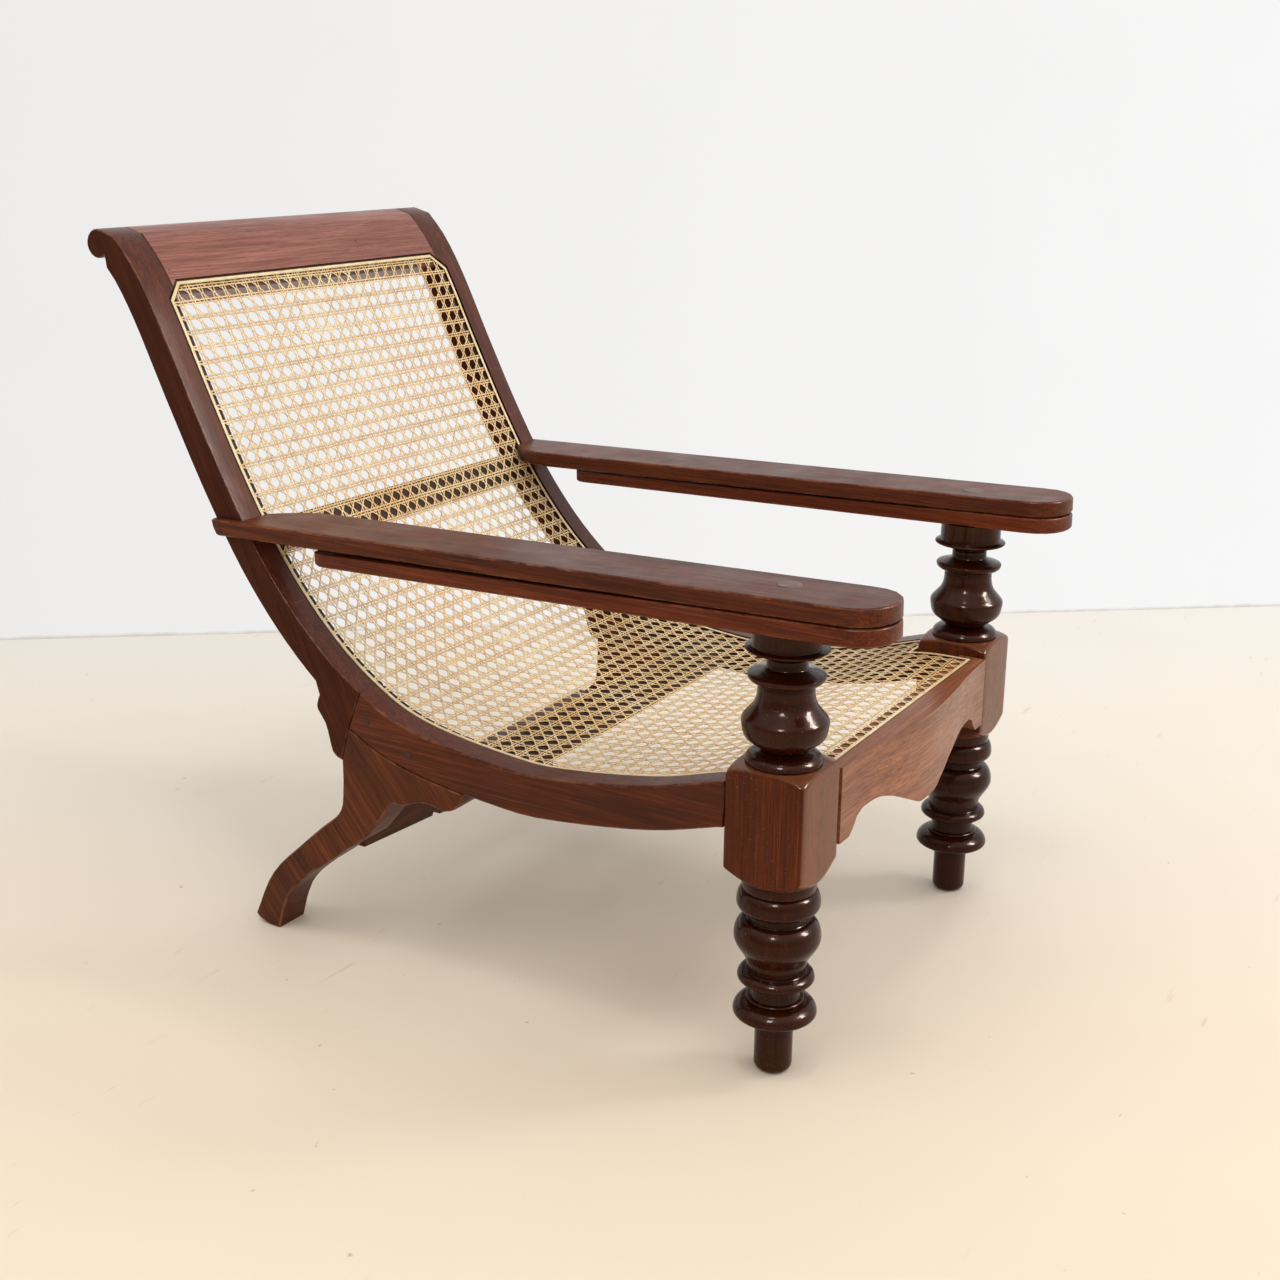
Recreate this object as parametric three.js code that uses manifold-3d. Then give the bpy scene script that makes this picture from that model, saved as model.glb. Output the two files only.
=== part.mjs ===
// A planter's chair in red-brown hardwood with a woven cane seat and back.
// Millimetres, +Z up, the sitter faces -Y, and the chair is symmetric about X = 0.
// Run with the npm packages three and manifold-3d.
import * as THREE from 'three';
import { mergeVertices, toCreasedNormals } from 'three/addons/utils/BufferGeometryUtils.js';
import Module from 'manifold-3d';

// Driving sizes of the whole chair
const leg_spacing = 596;            // between the axes of the front legs
const block_size = 104;             // the square block that the seat joins
const seat_front_reach = 36;        // cane's front edge, ahead of the leg axes
const seat_front_height = 388;      // top of the seat at its front edge
const seat_low_reach = 370;         // lowest point of the seat, behind the leg axes
const seat_low_height = 332;
const back_reach = 1012;            // where the back begins to roll over
const back_height = 966;

// Side frames
const frame_width = 54;             // timber across the chair
const stile_depth = 43;
const rail_depth = 57;
const scarf_top_reach = 601;        // joint between the stile and the seat rail
const scarf_lean = 21;              // the joint runs down and back
const scroll_radius = 20;           // roll at the top of the back
const scroll_rise = 12;             // roll's centre below the end of the face
const scroll_run = 32;              // roll's centre behind the end of the face
const crest_height = 80;            // height of the crest rail, along the face

// Cane seat
const cane_thickness = 2.1;
const rebate_depth = 4.5;           // the cane lies in this rebate
const rebate_inset = 37;            // from the outer face of the frame
const cane_corner_cut = 28;         // clipped corners at the crest
const crest_margin = 78;            // face left bare above the cane
const binding_width = 6;
const binding_thickness = 1.2;
const cane_block_gap = 3;           // between the cane and the legs' square blocks
const cane_border = 10;             // closely woven border round the openings
const cane_openings_across = 10;    // the weave's openings, drawn as a plain grid
const cane_openings_along = 19;
const cane_opening_share = 0.6;     // of the pitch, both ways

// Fits
const gap = 0.3;                    // between pieces that seat on each other
const tenon_clearance = 0.4;
const peg_clearance = 0.3;
const pivot_clearance = 1;
const overrun = 5;                  // how far a cutting solid runs past a face
const edge_round = 2.5;             // eased edges of sawn timber
const tenon_thickness = 18;
const tenon_length = 30;

// Arms and leg rests
const arm_height = 619.5;           // top of the arm at the leg axis
const arm_drop_share = 0.029;       // fall of the arm toward the back
const arm_thickness = 22.5;
const arm_overhang = 11;            // outer edge past the frame
const arm_width = 103;
const arm_nose_reach = 140;         // front tip ahead of the leg axis
const arm_nose_length = 56;
const arm_heel_narrowing = 44;      // inner edge curves out toward the stile
const arm_heel_length = 92;
const arm_tail_past = 5;            // tongue's end past the back of the stile
const leg_rest_thickness = 22;
const leg_rest_tip_thickness = 17.5;
const leg_rest_reach = 673;
const leg_rest_tip_narrowing = 14;
const leg_rest_corner = 22;
const arm_gap = 1;                  // between arm and leg rest at the pivot

// Front leg turnings, heights above the floor
const peg_foot = { tip_radius: 14, radius: 23.7, rounding: 9 };
const foot_ball = { from: 70.5, widest: 79.5, to: 95, low_radius: 28, radius: 51.7, high_radius: 34.5 };
const ankle_bead = { from: 95, widest: 97.3, to: 99.5, low_radius: 34, radius: 35.5, high_radius: 31 };
const low_ring = { from: 118.5, widest: 125.7, to: 135, low_radius: 31, radius: 47.4, high_radius: 37.5 };
const low_bulb = { from: 143, widest: 180.5, to: 203.5, low_radius: 37.2, radius: 53.3, high_radius: 38.5 };
const top_ring = { from: 214, widest: 225, to: 243, low_radius: 39, radius: 51.1, high_radius: 42.5 };
const block_collar = { from: 244, radius: 45.5 };
const block_foot = 258;
const block_foot_radius = 49;
const block_top = 404;
const block_core_radius = 44;
const block_shoulder_low = 18;      // turned cone at the block's foot
const block_shoulder_high = 14;     // turned shoulder at the block's top
const block_edge = 1.6;
const vase_ring = { from: 404, widest: 406, to: 418, low_radius: 42, radius: 46.7, high_radius: 32 };
const vase_foot = 420;
const vase_height = 78;
const vase_radius = 52;
const disc = { from: 503, rim: 511, low_radius: 34, radius: 46.3, rim_height: 1.5 };
const collar_neck = { from: 522, to: 532, radius: 24.5 };
const flange = { rim: 543, radius: 50, rim_height: 2, top: 547 };
const collar_radius = 42.7;
const tenon_radius = 15;
const plug_depth = 9;

// Pegs, and the tenons that they hold
const frame_peg_radius = 5.5;
const frame_peg_length = 40;
const arm_peg_radius = 4;
const arm_peg_length = 26;
const peg_stand = 0.4;              // pegs stand a little proud
const scarf_tenon = { length: 46, root: 14, top: 14, bottom: 34, peg_setback: 26.5, peg_depth: 28 };
const leg_joint = { setback: 6, width: 51, length: 31, root: 13, peg_setback: 14, peg_depth: 35 };
const block_tenon = { drop: 14, width: 34 };
const crest_tenon_depth = 16;
const arm_pegs = [{ setback: 12, below: 6.5 }, { setback: 17, below: 16 }];

// Front rail
const front_rail_top = seat_front_height;
const front_rail_back = -14;
const front_rail_face = -53;
const front_rail_bow = 17;
const front_rail_drop = 118;        // depth at the middle of the shaped edge
const front_rail_arch_depth = 70;
const front_rail_end_depth = 98;

// Cross rails under the cane and the stretcher
const back_cross_drop = 49.5;       // below the top of the arms
const back_cross_width = 44;
const seat_cross_setback = 20;      // behind the lowest point of the seat
const seat_cross_width = 56;
const cross_thickness = 20;
const cross_tenon_shoulder = 5;
const cross_tenon_width = 28;
const cross_tenon_thickness = 10;
const stretcher_setback = 9;        // its face behind the foot of the stile's tail
const stretcher_thickness = 24;
const stretcher_foot_share = 0.419; // of the height of the leg's back
const stretcher_top_share = 0.669;
const stretcher_end_rise = 15;      // its lower edge is higher at the legs

// Rear legs
const tail_setback = 35;            // foot of the stile's tail, behind the scarf
const tail_drop = 49.5;             // and below the seat rail there
const tail_bulge = 42;              // swell of the stile's tail behind the leg
const tail_rise = 87;
const heel_setback = 207;
const toe_setback = 163;
const foot_length = 20;
const heel_lift = 6;
const bracket_lead = 169;           // front end of the leg's bracket, ahead of the scarf
const calf_lead = 47;               // where the bracket meets the leg's front edge
const calf_drop = 39.25;            // below the bracket's front end

// Derived places
const leg_x = leg_spacing / 2;
const frame_outer = leg_x + block_size / 2;
const frame_inner = frame_outer - frame_width;
const frame_middle = frame_outer - frame_width / 2;
const block_inner = leg_x - block_size / 2;
const block_back = block_size / 2;
const cane_half = frame_outer - rebate_inset;
const arm_slope = Math.atan(arm_drop_share);
const pivot_height = arm_height - arm_thickness - arm_gap;
const scarf_low_reach = scarf_top_reach + scarf_lean;
const tail_reach = scarf_top_reach + tail_setback;
const heel_reach = scarf_top_reach + heel_setback;
const toe_reach = scarf_top_reach + toe_setback;
const bracket_reach = scarf_top_reach - bracket_lead;
const calf_reach = scarf_top_reach - calf_lead;
const stretcher_face = tail_reach + stretcher_setback;

// Outlines as shares of the sizes they follow
const seat_front_shares = [[0.214, 0.054], [0.517, 0.393], [0.786, 0.929], [1, 1]];
const back_shares = [[0.234, 0.032], [0.374, 0.096], [0.498, 0.197], [0.611, 0.331], [0.71, 0.492],
  [0.807, 0.678], [0.888, 0.842], [0.947, 0.94], [1, 1]];
const vase_shares = [[0, 0.53], [0.1, 0.72], [0.22, 0.93], [0.42, 1], [0.5, 0.985], [0.6, 0.86],
  [0.7, 0.74], [0.8, 0.68], [0.9, 0.655], [1, 0.65]];
const leg_back_shares = [[0, 0.9], [0.01, 0.8], [0.03, 0.745], [0.09, 0.695], [0.24, 0.62],
  [0.5, 0.475], [0.71, 0.355], [0.85, 0.24], [0.95, 0.11]];
const leg_front_shares = [[0.075, 0.89], [0.16, 0.8], [0.235, 0.725], [0.39, 0.63], [0.5, 0.55],
  [0.67, 0.44], [0.81, 0.335], [0.9, 0.24], [0.96, 0.12]];
const tail_shares = [[0.88, 1], [1, 0.84], [0.95, 0.735], [0.667, 0.55], [0.524, 0.32], [0.405, 0.115],
  [0.2, 0.03]];
const bracket_shares = [[0.03, 0.3], [0.12, 0.62], [0.27, 0.8], [0.45, 0.7], [0.6, 0.72],
  [0.72, 0.86], [0.84, 1], [0.93, 0.97]];
const drop_shares = [[0, 1], [0.1, 0.985], [0.18, 0.82], [0.32, 0.48], [0.45, 0.22], [0.57, 0.04],
  [0.66, 0], [0.75, 0.02]];
const bracket_end_shares = [[0.81, 0.25], [0.85, 0.72], [0.89, 1], [1, 1]];
const stretcher_shares = [[0.31, 0], [0.42, 0.2], [0.43, 0.75], [0.47, 0.8], [0.48, 0.4], [1, 1]];

// Finishes
const wood_dark = { color: 0x5a2a1a, roughness: 0.34, metalness: 0 };
const wood_turned = { color: 0x4a2016, roughness: 0.24, metalness: 0 };
const wood_light = { color: 0x8f5f4c, roughness: 0.36, metalness: 0 };
const peg_wood = { color: 0x8a7a70, roughness: 0.55, metalness: 0 };
const cane_finish = { color: 0xd9c193, roughness: 0.6, metalness: 0 };
const binding_finish = { color: 0xe2cd9f, roughness: 0.5, metalness: 0 };

const wasm = await Module();
wasm.setup();
const chair = new THREE.Group();

// Solids for cutting and joining
function weld(geometry) {
  const plain = new THREE.BufferGeometry();
  plain.setAttribute('position', geometry.getAttribute('position').clone());
  if (geometry.index) plain.setIndex(geometry.index.clone());
  const merged = mergeVertices(plain, 1e-4);
  const corners = merged.index.array;
  const kept = [];
  for (let i = 0; i < corners.length; i += 3) {
    const [a, b, c] = [corners[i], corners[i + 1], corners[i + 2]];
    if (a !== b && b !== c && c !== a) kept.push(a, b, c);
  }
  const points = new Float32Array(merged.getAttribute('position').array);
  return { points, triangles: new Uint32Array(kept) };
}

function solid(geometry) {
  const { points, triangles } = weld(geometry);
  return new wasm.Manifold(new wasm.Mesh({ numProp: 3, vertProperties: points, triVerts: triangles }));
}

function toGeometry(body) {
  const mesh = body.getMesh();
  const geometry = new THREE.BufferGeometry();
  geometry.setAttribute('position', new THREE.BufferAttribute(new Float32Array(mesh.vertProperties), 3));
  geometry.setIndex(new THREE.BufferAttribute(new Uint32Array(mesh.triVerts), 1));
  return toCreasedNormals(geometry, 0.6);
}

function finish(name, body, look) {
  const mesh = new THREE.Mesh(toGeometry(body), new THREE.MeshStandardMaterial(look));
  mesh.name = name;
  return mesh;
}

// An outline in the Y-Z plane, extruded across the chair from one X to another
const across = new THREE.Matrix4().set(0, 0, 1, 0, 1, 0, 0, 0, 0, 1, 0, 0, 0, 0, 0, 1);

function extrude(points, thickness, round = 0) {
  return new THREE.ExtrudeGeometry(new THREE.Shape(points), {
    depth: thickness - 2 * round,
    bevelEnabled: round > 0,
    bevelThickness: round,
    bevelSize: round,
    bevelOffset: -round,
    bevelSegments: 1,
    steps: 1,
  }).translate(0, 0, round);
}

function acrossChair(points, from, to, round = 0) {
  return solid(extrude(points, to - from, round).applyMatrix4(across).translate(from, 0, 0));
}

function box(x0, x1, y0, y1, z0, z1) {
  const shape = new THREE.BoxGeometry(x1 - x0, y1 - y0, z1 - z0);
  return solid(shape.translate((x0 + x1) / 2, (y0 + y1) / 2, (z0 + z1) / 2));
}

// The face that the sitter meets, from the front edge of the cane to the roll of the back
const seat_rise = seat_front_height - seat_low_height;
const seat_run = seat_low_reach + seat_front_reach;
const face_knots = [
  ...seat_front_shares.map(([run, rise]) =>
    new THREE.Vector2(seat_low_reach - run * seat_run, seat_low_height + rise * seat_rise)).reverse(),
  new THREE.Vector2(seat_low_reach, seat_low_height),
  ...back_shares.map(([run, rise]) => new THREE.Vector2(
    seat_low_reach + run * (back_reach - seat_low_reach),
    seat_low_height + rise * (back_height - seat_low_height))),
];
const face_steps = 60;
const face = new THREE.SplineCurve(face_knots).getSpacedPoints(face_steps);
const face_length = new THREE.SplineCurve(face_knots).getLength();

function faceNormal(index) {
  const before = face[Math.max(index - 1, 0)];
  const after = face[Math.min(index + 1, face_steps)];
  const along = after.clone().sub(before).normalize();
  return new THREE.Vector2(along.y, -along.x);
}

function offsetFace(depth) {
  return face.map((point, index) => point.clone().addScaledVector(faceNormal(index), depth));
}

// Part of a polyline between two distances along the face
function stretch(line, from, to) {
  const step = face_length / face_steps;
  const at = (distance) => {
    const place = Math.min(Math.max(distance / step, 0), face_steps - 1e-6);
    const index = Math.floor(place);
    return line[index].clone().lerp(line[index + 1], place - index);
  };
  const middle = line.filter((_, index) => index * step > from + step / 4 && index * step < to - step / 4);
  return [at(from), ...middle, at(to)];
}

function distanceWhere(line, axis, value) {
  const index = line.findIndex((point, place) => place < face_steps && point[axis] <= value
    && line[place + 1][axis] > value);
  const share = (value - line[index][axis]) / (line[index + 1][axis] - line[index][axis]);
  return (index + share) * face_length / face_steps;
}

// An outline drawn as a smooth curve through its knots
function eased(knots) {
  return new THREE.SplineCurve(knots).getPoints(2 * (knots.length - 1));
}

// A band of timber that follows the face between two depths below it
function band(from, to, top, bottom) {
  return [...stretch(offsetFace(top), from, to), ...stretch(offsetFace(bottom), from, to).reverse()];
}

const rail_start = distanceWhere(face, 'x', block_back + gap);
const scarf_top = distanceWhere(face, 'x', scarf_top_reach);
const scarf_low = distanceWhere(offsetFace(rail_depth), 'x', scarf_low_reach);
const bracket_end = distanceWhere(offsetFace(rail_depth), 'x', bracket_reach);
const scarf_foot = stretch(offsetFace(rail_depth), scarf_low, scarf_low + overrun)[0];
const tail_height = scarf_foot.y - tail_drop;
const bracket_lip = stretch(offsetFace(rail_depth + gap), bracket_end, scarf_low)[0];
const calf_height = bracket_lip.y - calf_drop;
const stretcher_foot = tail_height * stretcher_foot_share;
const stretcher_top = tail_height * stretcher_top_share;
const cane_top = face_length - crest_margin;
const crest_low = face_length - crest_height - crest_margin / 4;

// The cane sheet, and the same shape grown for its rebate
function caneSheet(top, bottom, grow) {
  const half = cane_half + grow;
  const wide = acrossChair(band(tenon_clearance - grow, cane_top + grow, top, bottom), -half, half);
  const narrow = block_inner - cane_block_gap + grow;
  const notch = block_back + cane_block_gap - grow;
  let sheet = wide;
  for (const side of [-1, 1]) {
    const [x0, x1] = [side * narrow, side * (half + overrun)].sort((a, b) => a - b);
    const reach = seat_front_reach + seat_front_height;
    sheet = sheet.subtract(box(x0, x1, -reach, notch, 0, 2 * seat_front_height));
    sheet = sheet.subtract(cornerCut(side, half, grow));
  }
  return sheet;
}

// Clips a top corner of the cane, square to the face there
function cornerCut(side, half, grow) {
  const index = Math.round((cane_top / face_length) * face_steps);
  const normal = faceNormal(index);
  const along = new THREE.Vector2(-normal.y, normal.x);
  const top = stretch(face, cane_top + grow, face_length)[0];
  const cut = cane_corner_cut - grow;
  const outline = [[half - cut, 0], [half - cut, overrun], [half + overrun, overrun],
    [half + overrun, -cut - overrun], [half, -cut]].map(([x, s]) => new THREE.Vector2(side * x, s));
  const block = extrude(outline, 2 * cut).translate(0, 0, -cut);
  return solid(block.applyMatrix4(new THREE.Matrix4().set(1, 0, 0, 0, 0, along.x, -normal.x, top.x,
    0, along.y, -normal.y, top.y, 0, 0, 0, 1)));
}

const rebate = caneSheet(-overrun, rebate_depth, tenon_clearance);

// Roll at the top of the back
function rolledTop() {
  const end = face[face_steps];
  const centre = new THREE.Vector2(end.x + scroll_run, end.y - scroll_rise);
  const points = [];
  const turns = 12;
  for (let i = 0; i <= turns; i += 1) {
    const angle = THREE.MathUtils.degToRad(112 - (242 * i) / turns);
    points.push(new THREE.Vector2(centre.x + scroll_radius * Math.cos(angle),
      centre.y + scroll_radius * Math.sin(angle)));
  }
  return points;
}

const back_line = offsetFace(stile_depth);
const back_line_end = face_length - stile_depth / 2;

// Joinery between the pieces of one side frame
function tenonBand(from, to, top, bottom, grow = 0) {
  const outline = band(from - grow, to + grow, top - grow, bottom + grow);
  const half = tenon_thickness / 2 + grow;
  return (middle) => acrossChair(outline, middle - half, middle + half);
}

const stile_tenon = {
  from: scarf_top - scarf_tenon.length,
  to: scarf_top + scarf_tenon.root,
  top: scarf_tenon.top,
  bottom: scarf_tenon.bottom,
};
const leg_tenon_back = distanceWhere(face, 'x', calf_reach - leg_joint.setback);
const leg_tenon = {
  from: leg_tenon_back - leg_joint.width,
  to: leg_tenon_back,
  top: rail_depth - leg_joint.length,
  bottom: rail_depth + leg_joint.root,
};
const rail_tenon_top = stretch(face, rail_start, face_length)[0].y - block_tenon.drop;
const rail_tenon = { low: rail_tenon_top - block_tenon.width, high: rail_tenon_top };

function bandTenon({ from, to, top, bottom }, middle, grow = 0) {
  return tenonBand(from, to, top, bottom, grow)(middle);
}

function crossTenon(from_outline, grow, side) {
  const { centre, top } = from_outline;
  const outline = band(centre - cross_tenon_width / 2 - grow, centre + cross_tenon_width / 2 + grow,
    top - grow, top + cross_tenon_thickness + grow);
  const reach = frame_inner + tenon_length - frame_width / 4 + grow;
  const [x0, x1] = [side * (frame_inner - overrun), side * reach].sort((a, b) => a - b);
  return acrossChair(outline, x0, x1);
}

const cross_tenon_top = rebate_depth + cross_tenon_shoulder;
const seat_cross_reach = seat_low_reach + seat_cross_setback;
const back_cross = { centre: distanceWhere(face, 'y', arm_height - back_cross_drop), top: cross_tenon_top };
const seat_cross = { centre: distanceWhere(face, 'x', seat_cross_reach), top: cross_tenon_top };
const crest_joint = { centre: face_length - crest_height / 2, top: crest_tenon_depth };

// The arm's tongue ends just behind the stile, at the height where the arm meets it
function reachAt(line, height) {
  return stretch(line, distanceWhere(line, 'y', height), face_length)[0].x;
}

const arm_joint_height = arm_height - arm_thickness / 2 - arm_drop_share * reachAt(face, arm_height);
const arm_tail_reach = reachAt(back_line, arm_joint_height) + arm_tail_past;

// A round peg across the chair, or the hole for it
function peg(side, face_x, reach, height, radius, length, grow = 0) {
  const rod = new THREE.CylinderGeometry(radius + grow, radius + grow, length + grow, 12);
  rod.rotateZ(Math.PI / 2).translate(side * (face_x + peg_stand - length / 2), reach, height);
  return solid(rod);
}

function placeBelow(depth, distance) {
  return stretch(offsetFace(depth), distance, face_length)[0];
}

const scarf_peg = placeBelow(scarf_tenon.peg_depth, scarf_top - scarf_tenon.peg_setback);
const leg_peg = placeBelow(leg_joint.peg_depth, leg_tenon.from + leg_joint.peg_setback);

function framePeg(side, place, grow = 0) {
  return peg(side, frame_outer, place.x, place.y, frame_peg_radius, frame_peg_length, grow);
}

function armPeg(side, place, grow = 0) {
  const reach = arm_tail_reach - place.setback;
  const height = arm_height - reach * arm_drop_share - place.below;
  return peg(side, frame_outer + arm_overhang, reach, height, arm_peg_radius, arm_peg_length, grow);
}

function stileOutline() {
  const start = stretch(offsetFace(0), scarf_top + gap, face_length);
  const back = stretch(back_line, distanceWhere(back_line, 'x', tail_reach + stile_depth), back_line_end);
  const tail = eased(tail_shares.map(([run, rise]) =>
    new THREE.Vector2(tail_reach + run * tail_bulge, tail_height + rise * tail_rise)));
  const tail_foot = new THREE.Vector2(tail_reach + gap, tail_height + gap);
  const scarf_end = new THREE.Vector2(scarf_foot.x + gap, scarf_foot.y);
  return [...start, ...rolledTop(), ...back.reverse(), ...tail, tail_foot, scarf_end];
}

function stile(side) {
  const middle = side * frame_middle;
  let body = acrossChair(stileOutline(), middle - frame_width / 2, middle + frame_width / 2, edge_round);
  body = body.add(bandTenon(stile_tenon, middle));
  body = body.subtract(rebate);
  body = body.subtract(crossTenon(back_cross, tenon_clearance, side));
  body = body.subtract(crossTenon(crest_joint, tenon_clearance, side));
  body = body.subtract(framePeg(side, scarf_peg, peg_clearance));
  for (const place of arm_pegs) body = body.subtract(armPeg(side, place, peg_clearance));
  return finish(`${sideName(side)}_stile`, body, wood_dark);
}

function seatRail(side) {
  const middle = side * frame_middle;
  const outline = [...stretch(face, rail_start, scarf_top),
    ...stretch(offsetFace(rail_depth), rail_start, scarf_low).reverse()];
  let body = acrossChair(outline, middle - frame_width / 2, middle + frame_width / 2, edge_round);
  const half = tenon_thickness / 2;
  // the front end is cut plumb against the block
  body = body.subtract(box(middle - frame_width, middle + frame_width, 0, block_back + gap, 0, back_height));
  body = body.add(box(middle - half, middle + half, block_back - tenon_length, block_back + 2 * overrun,
    rail_tenon.low, rail_tenon.high));
  body = body.subtract(rebate);
  body = body.subtract(bandTenon(stile_tenon, middle, tenon_clearance));
  body = body.subtract(bandTenon(leg_tenon, middle, tenon_clearance));
  body = body.subtract(crossTenon(seat_cross, tenon_clearance, side));
  body = body.subtract(framePeg(side, scarf_peg, peg_clearance));
  body = body.subtract(framePeg(side, leg_peg, peg_clearance));
  return finish(`${sideName(side)}_seat_rail`, body, wood_dark);
}

function rearLegOutline() {
  const seam = offsetFace(rail_depth + gap);
  const top = stretch(seam, bracket_end, scarf_low);
  const corner = top[top.length - 1];
  const sweep = heel_reach - tail_reach;
  const back = eased(leg_back_shares.map(([run, rise]) =>
    new THREE.Vector2(tail_reach + run * sweep, rise * tail_height)));
  const shin = toe_reach - calf_reach;
  const front = eased(leg_front_shares.map(([run, rise]) =>
    new THREE.Vector2(calf_reach + run * shin, rise * calf_height)));
  const bracket = eased(bracket_shares.map(([run, fall]) => new THREE.Vector2(
    bracket_lip.x + run * (calf_reach - bracket_lip.x), bracket_lip.y - fall * calf_drop)));
  return [...top, new THREE.Vector2(corner.x, corner.y), new THREE.Vector2(tail_reach, tail_height), ...back,
    new THREE.Vector2(heel_reach, heel_lift * 2), new THREE.Vector2(heel_reach - heel_lift, heel_lift),
    new THREE.Vector2(toe_reach + foot_length, 0), new THREE.Vector2(toe_reach, 0),
    ...front.reverse(), new THREE.Vector2(calf_reach, calf_height), ...bracket.reverse()];
}

function rearLeg(side) {
  const middle = side * frame_middle;
  let body = acrossChair(rearLegOutline(), middle - frame_width / 2, middle + frame_width / 2, edge_round);
  body = body.add(bandTenon(leg_tenon, middle));
  body = body.subtract(stretcherTenon(side, tenon_clearance));
  body = body.subtract(framePeg(side, leg_peg, peg_clearance));
  return finish(`${sideName(side)}_rear_leg`, body, wood_dark);
}

// A quarter ellipse of a turned profile, square to the axis at its wide end
function quarter(narrow, wide, steps) {
  const points = [];
  for (let i = 0; i <= steps; i += 1) {
    const turn = (Math.PI / 2) * (i / steps);
    points.push(new THREE.Vector2(narrow.x + (wide.x - narrow.x) * Math.sin(turn),
      wide.y + (narrow.y - wide.y) * Math.cos(turn)));
  }
  return points;
}

function beadTop({ widest, to, radius, high_radius }, steps) {
  return quarter(new THREE.Vector2(high_radius, to), new THREE.Vector2(radius, widest), steps).reverse();
}

function bead({ from, widest, to, low_radius, radius, high_radius }, steps) {
  const lower = quarter(new THREE.Vector2(low_radius, from), new THREE.Vector2(radius, widest), steps);
  return [...lower, ...beadTop({ widest, to, radius, high_radius }, steps).slice(1)];
}

// A bulb swells from its neck in an ogee and closes in a quarter ellipse
function bulb({ from, widest, low_radius, radius, ...top }, steps) {
  const points = [];
  for (let i = 0; i < steps; i += 1) {
    const share = i / steps;
    points.push(new THREE.Vector2(low_radius + ((radius - low_radius) * (1 - Math.cos(Math.PI * share))) / 2,
      from + share * (widest - from)));
  }
  return [...points, ...beadTop({ widest, radius, ...top }, steps)];
}

// The front leg is turned from one square post
function legProfile() {
  const vase = new THREE.SplineCurve(vase_shares.map(([rise, width]) =>
    new THREE.Vector2(width * vase_radius, vase_foot + rise * vase_height))).getPoints(9);
  return [
    new THREE.Vector2(0, 0),
    ...quarter(new THREE.Vector2(peg_foot.tip_radius, 0),
      new THREE.Vector2(peg_foot.radius, peg_foot.rounding), 3),
    ...bead(foot_ball, 3),
    ...bead(ankle_bead, 2).slice(1),
    ...bead(low_ring, 3),
    ...bulb(low_bulb, 5),
    ...bead(top_ring, 3),
    new THREE.Vector2(block_collar.radius, block_collar.from),
    new THREE.Vector2(block_collar.radius, block_foot),
    new THREE.Vector2(block_core_radius, block_foot + block_shoulder_low),
    new THREE.Vector2(block_core_radius, block_top - block_shoulder_high),
    ...bead(vase_ring, 2),
    ...vase,
    new THREE.Vector2(disc.low_radius, disc.from),
    new THREE.Vector2(disc.radius, disc.rim),
    new THREE.Vector2(disc.radius, disc.rim + disc.rim_height),
    new THREE.Vector2(collar_neck.radius, collar_neck.from),
    new THREE.Vector2(collar_neck.radius, collar_neck.to),
    new THREE.Vector2(flange.radius, flange.rim),
    new THREE.Vector2(flange.radius, flange.rim + flange.rim_height),
    new THREE.Vector2(collar_radius, flange.top),
    new THREE.Vector2(collar_radius, arm_height),
    new THREE.Vector2(0, arm_height),
  ];
}

function turned(points, segments) {
  return solid(new THREE.LatheGeometry(points, segments).rotateX(Math.PI / 2));
}

function legBlock() {
  const half = block_size / 2;
  const corner = half * Math.SQRT2;
  const plan = [[half, half - block_edge], [half - block_edge, half]];
  const square = [];
  for (let quarter = 0; quarter < 4; quarter += 1) {
    for (const [x, y] of plan) {
      square.push(new THREE.Vector2(x, y).rotateAround(new THREE.Vector2(), (quarter * Math.PI) / 2));
    }
  }
  const post = solid(extrude(square, block_top - block_foot).translate(0, 0, block_foot));
  const shoulder_steps = 4;
  const dome = [
    new THREE.Vector2(0, block_foot),
    new THREE.Vector2(block_foot_radius, block_foot),
    new THREE.Vector2(corner, block_foot + block_shoulder_low),
    new THREE.Vector2(corner + block_edge, (block_foot + block_top) / 2),
  ];
  for (let i = shoulder_steps; i >= 0; i -= 1) {
    const turn = (Math.PI / 2) * (i / shoulder_steps);
    dome.push(new THREE.Vector2(vase_ring.low_radius + (corner - vase_ring.low_radius) * Math.sin(turn),
      block_top - block_shoulder_high * (1 - Math.cos(turn))));
  }
  dome.push(new THREE.Vector2(0, block_top));
  return post.intersect(turned(dome, 24));
}

// A plane below the leg rest, sloped like the arm, that scribes the top of the collar
function aboveSlope(lift, radius) {
  const ring = new THREE.CylinderGeometry(radius, radius, arm_height, 24);
  ring.rotateX(Math.PI / 2).translate(0, 0, arm_height / 2 + lift).rotateX(-arm_slope);
  return ring.translate(0, 0, pivot_height - leg_rest_thickness);
}

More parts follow.
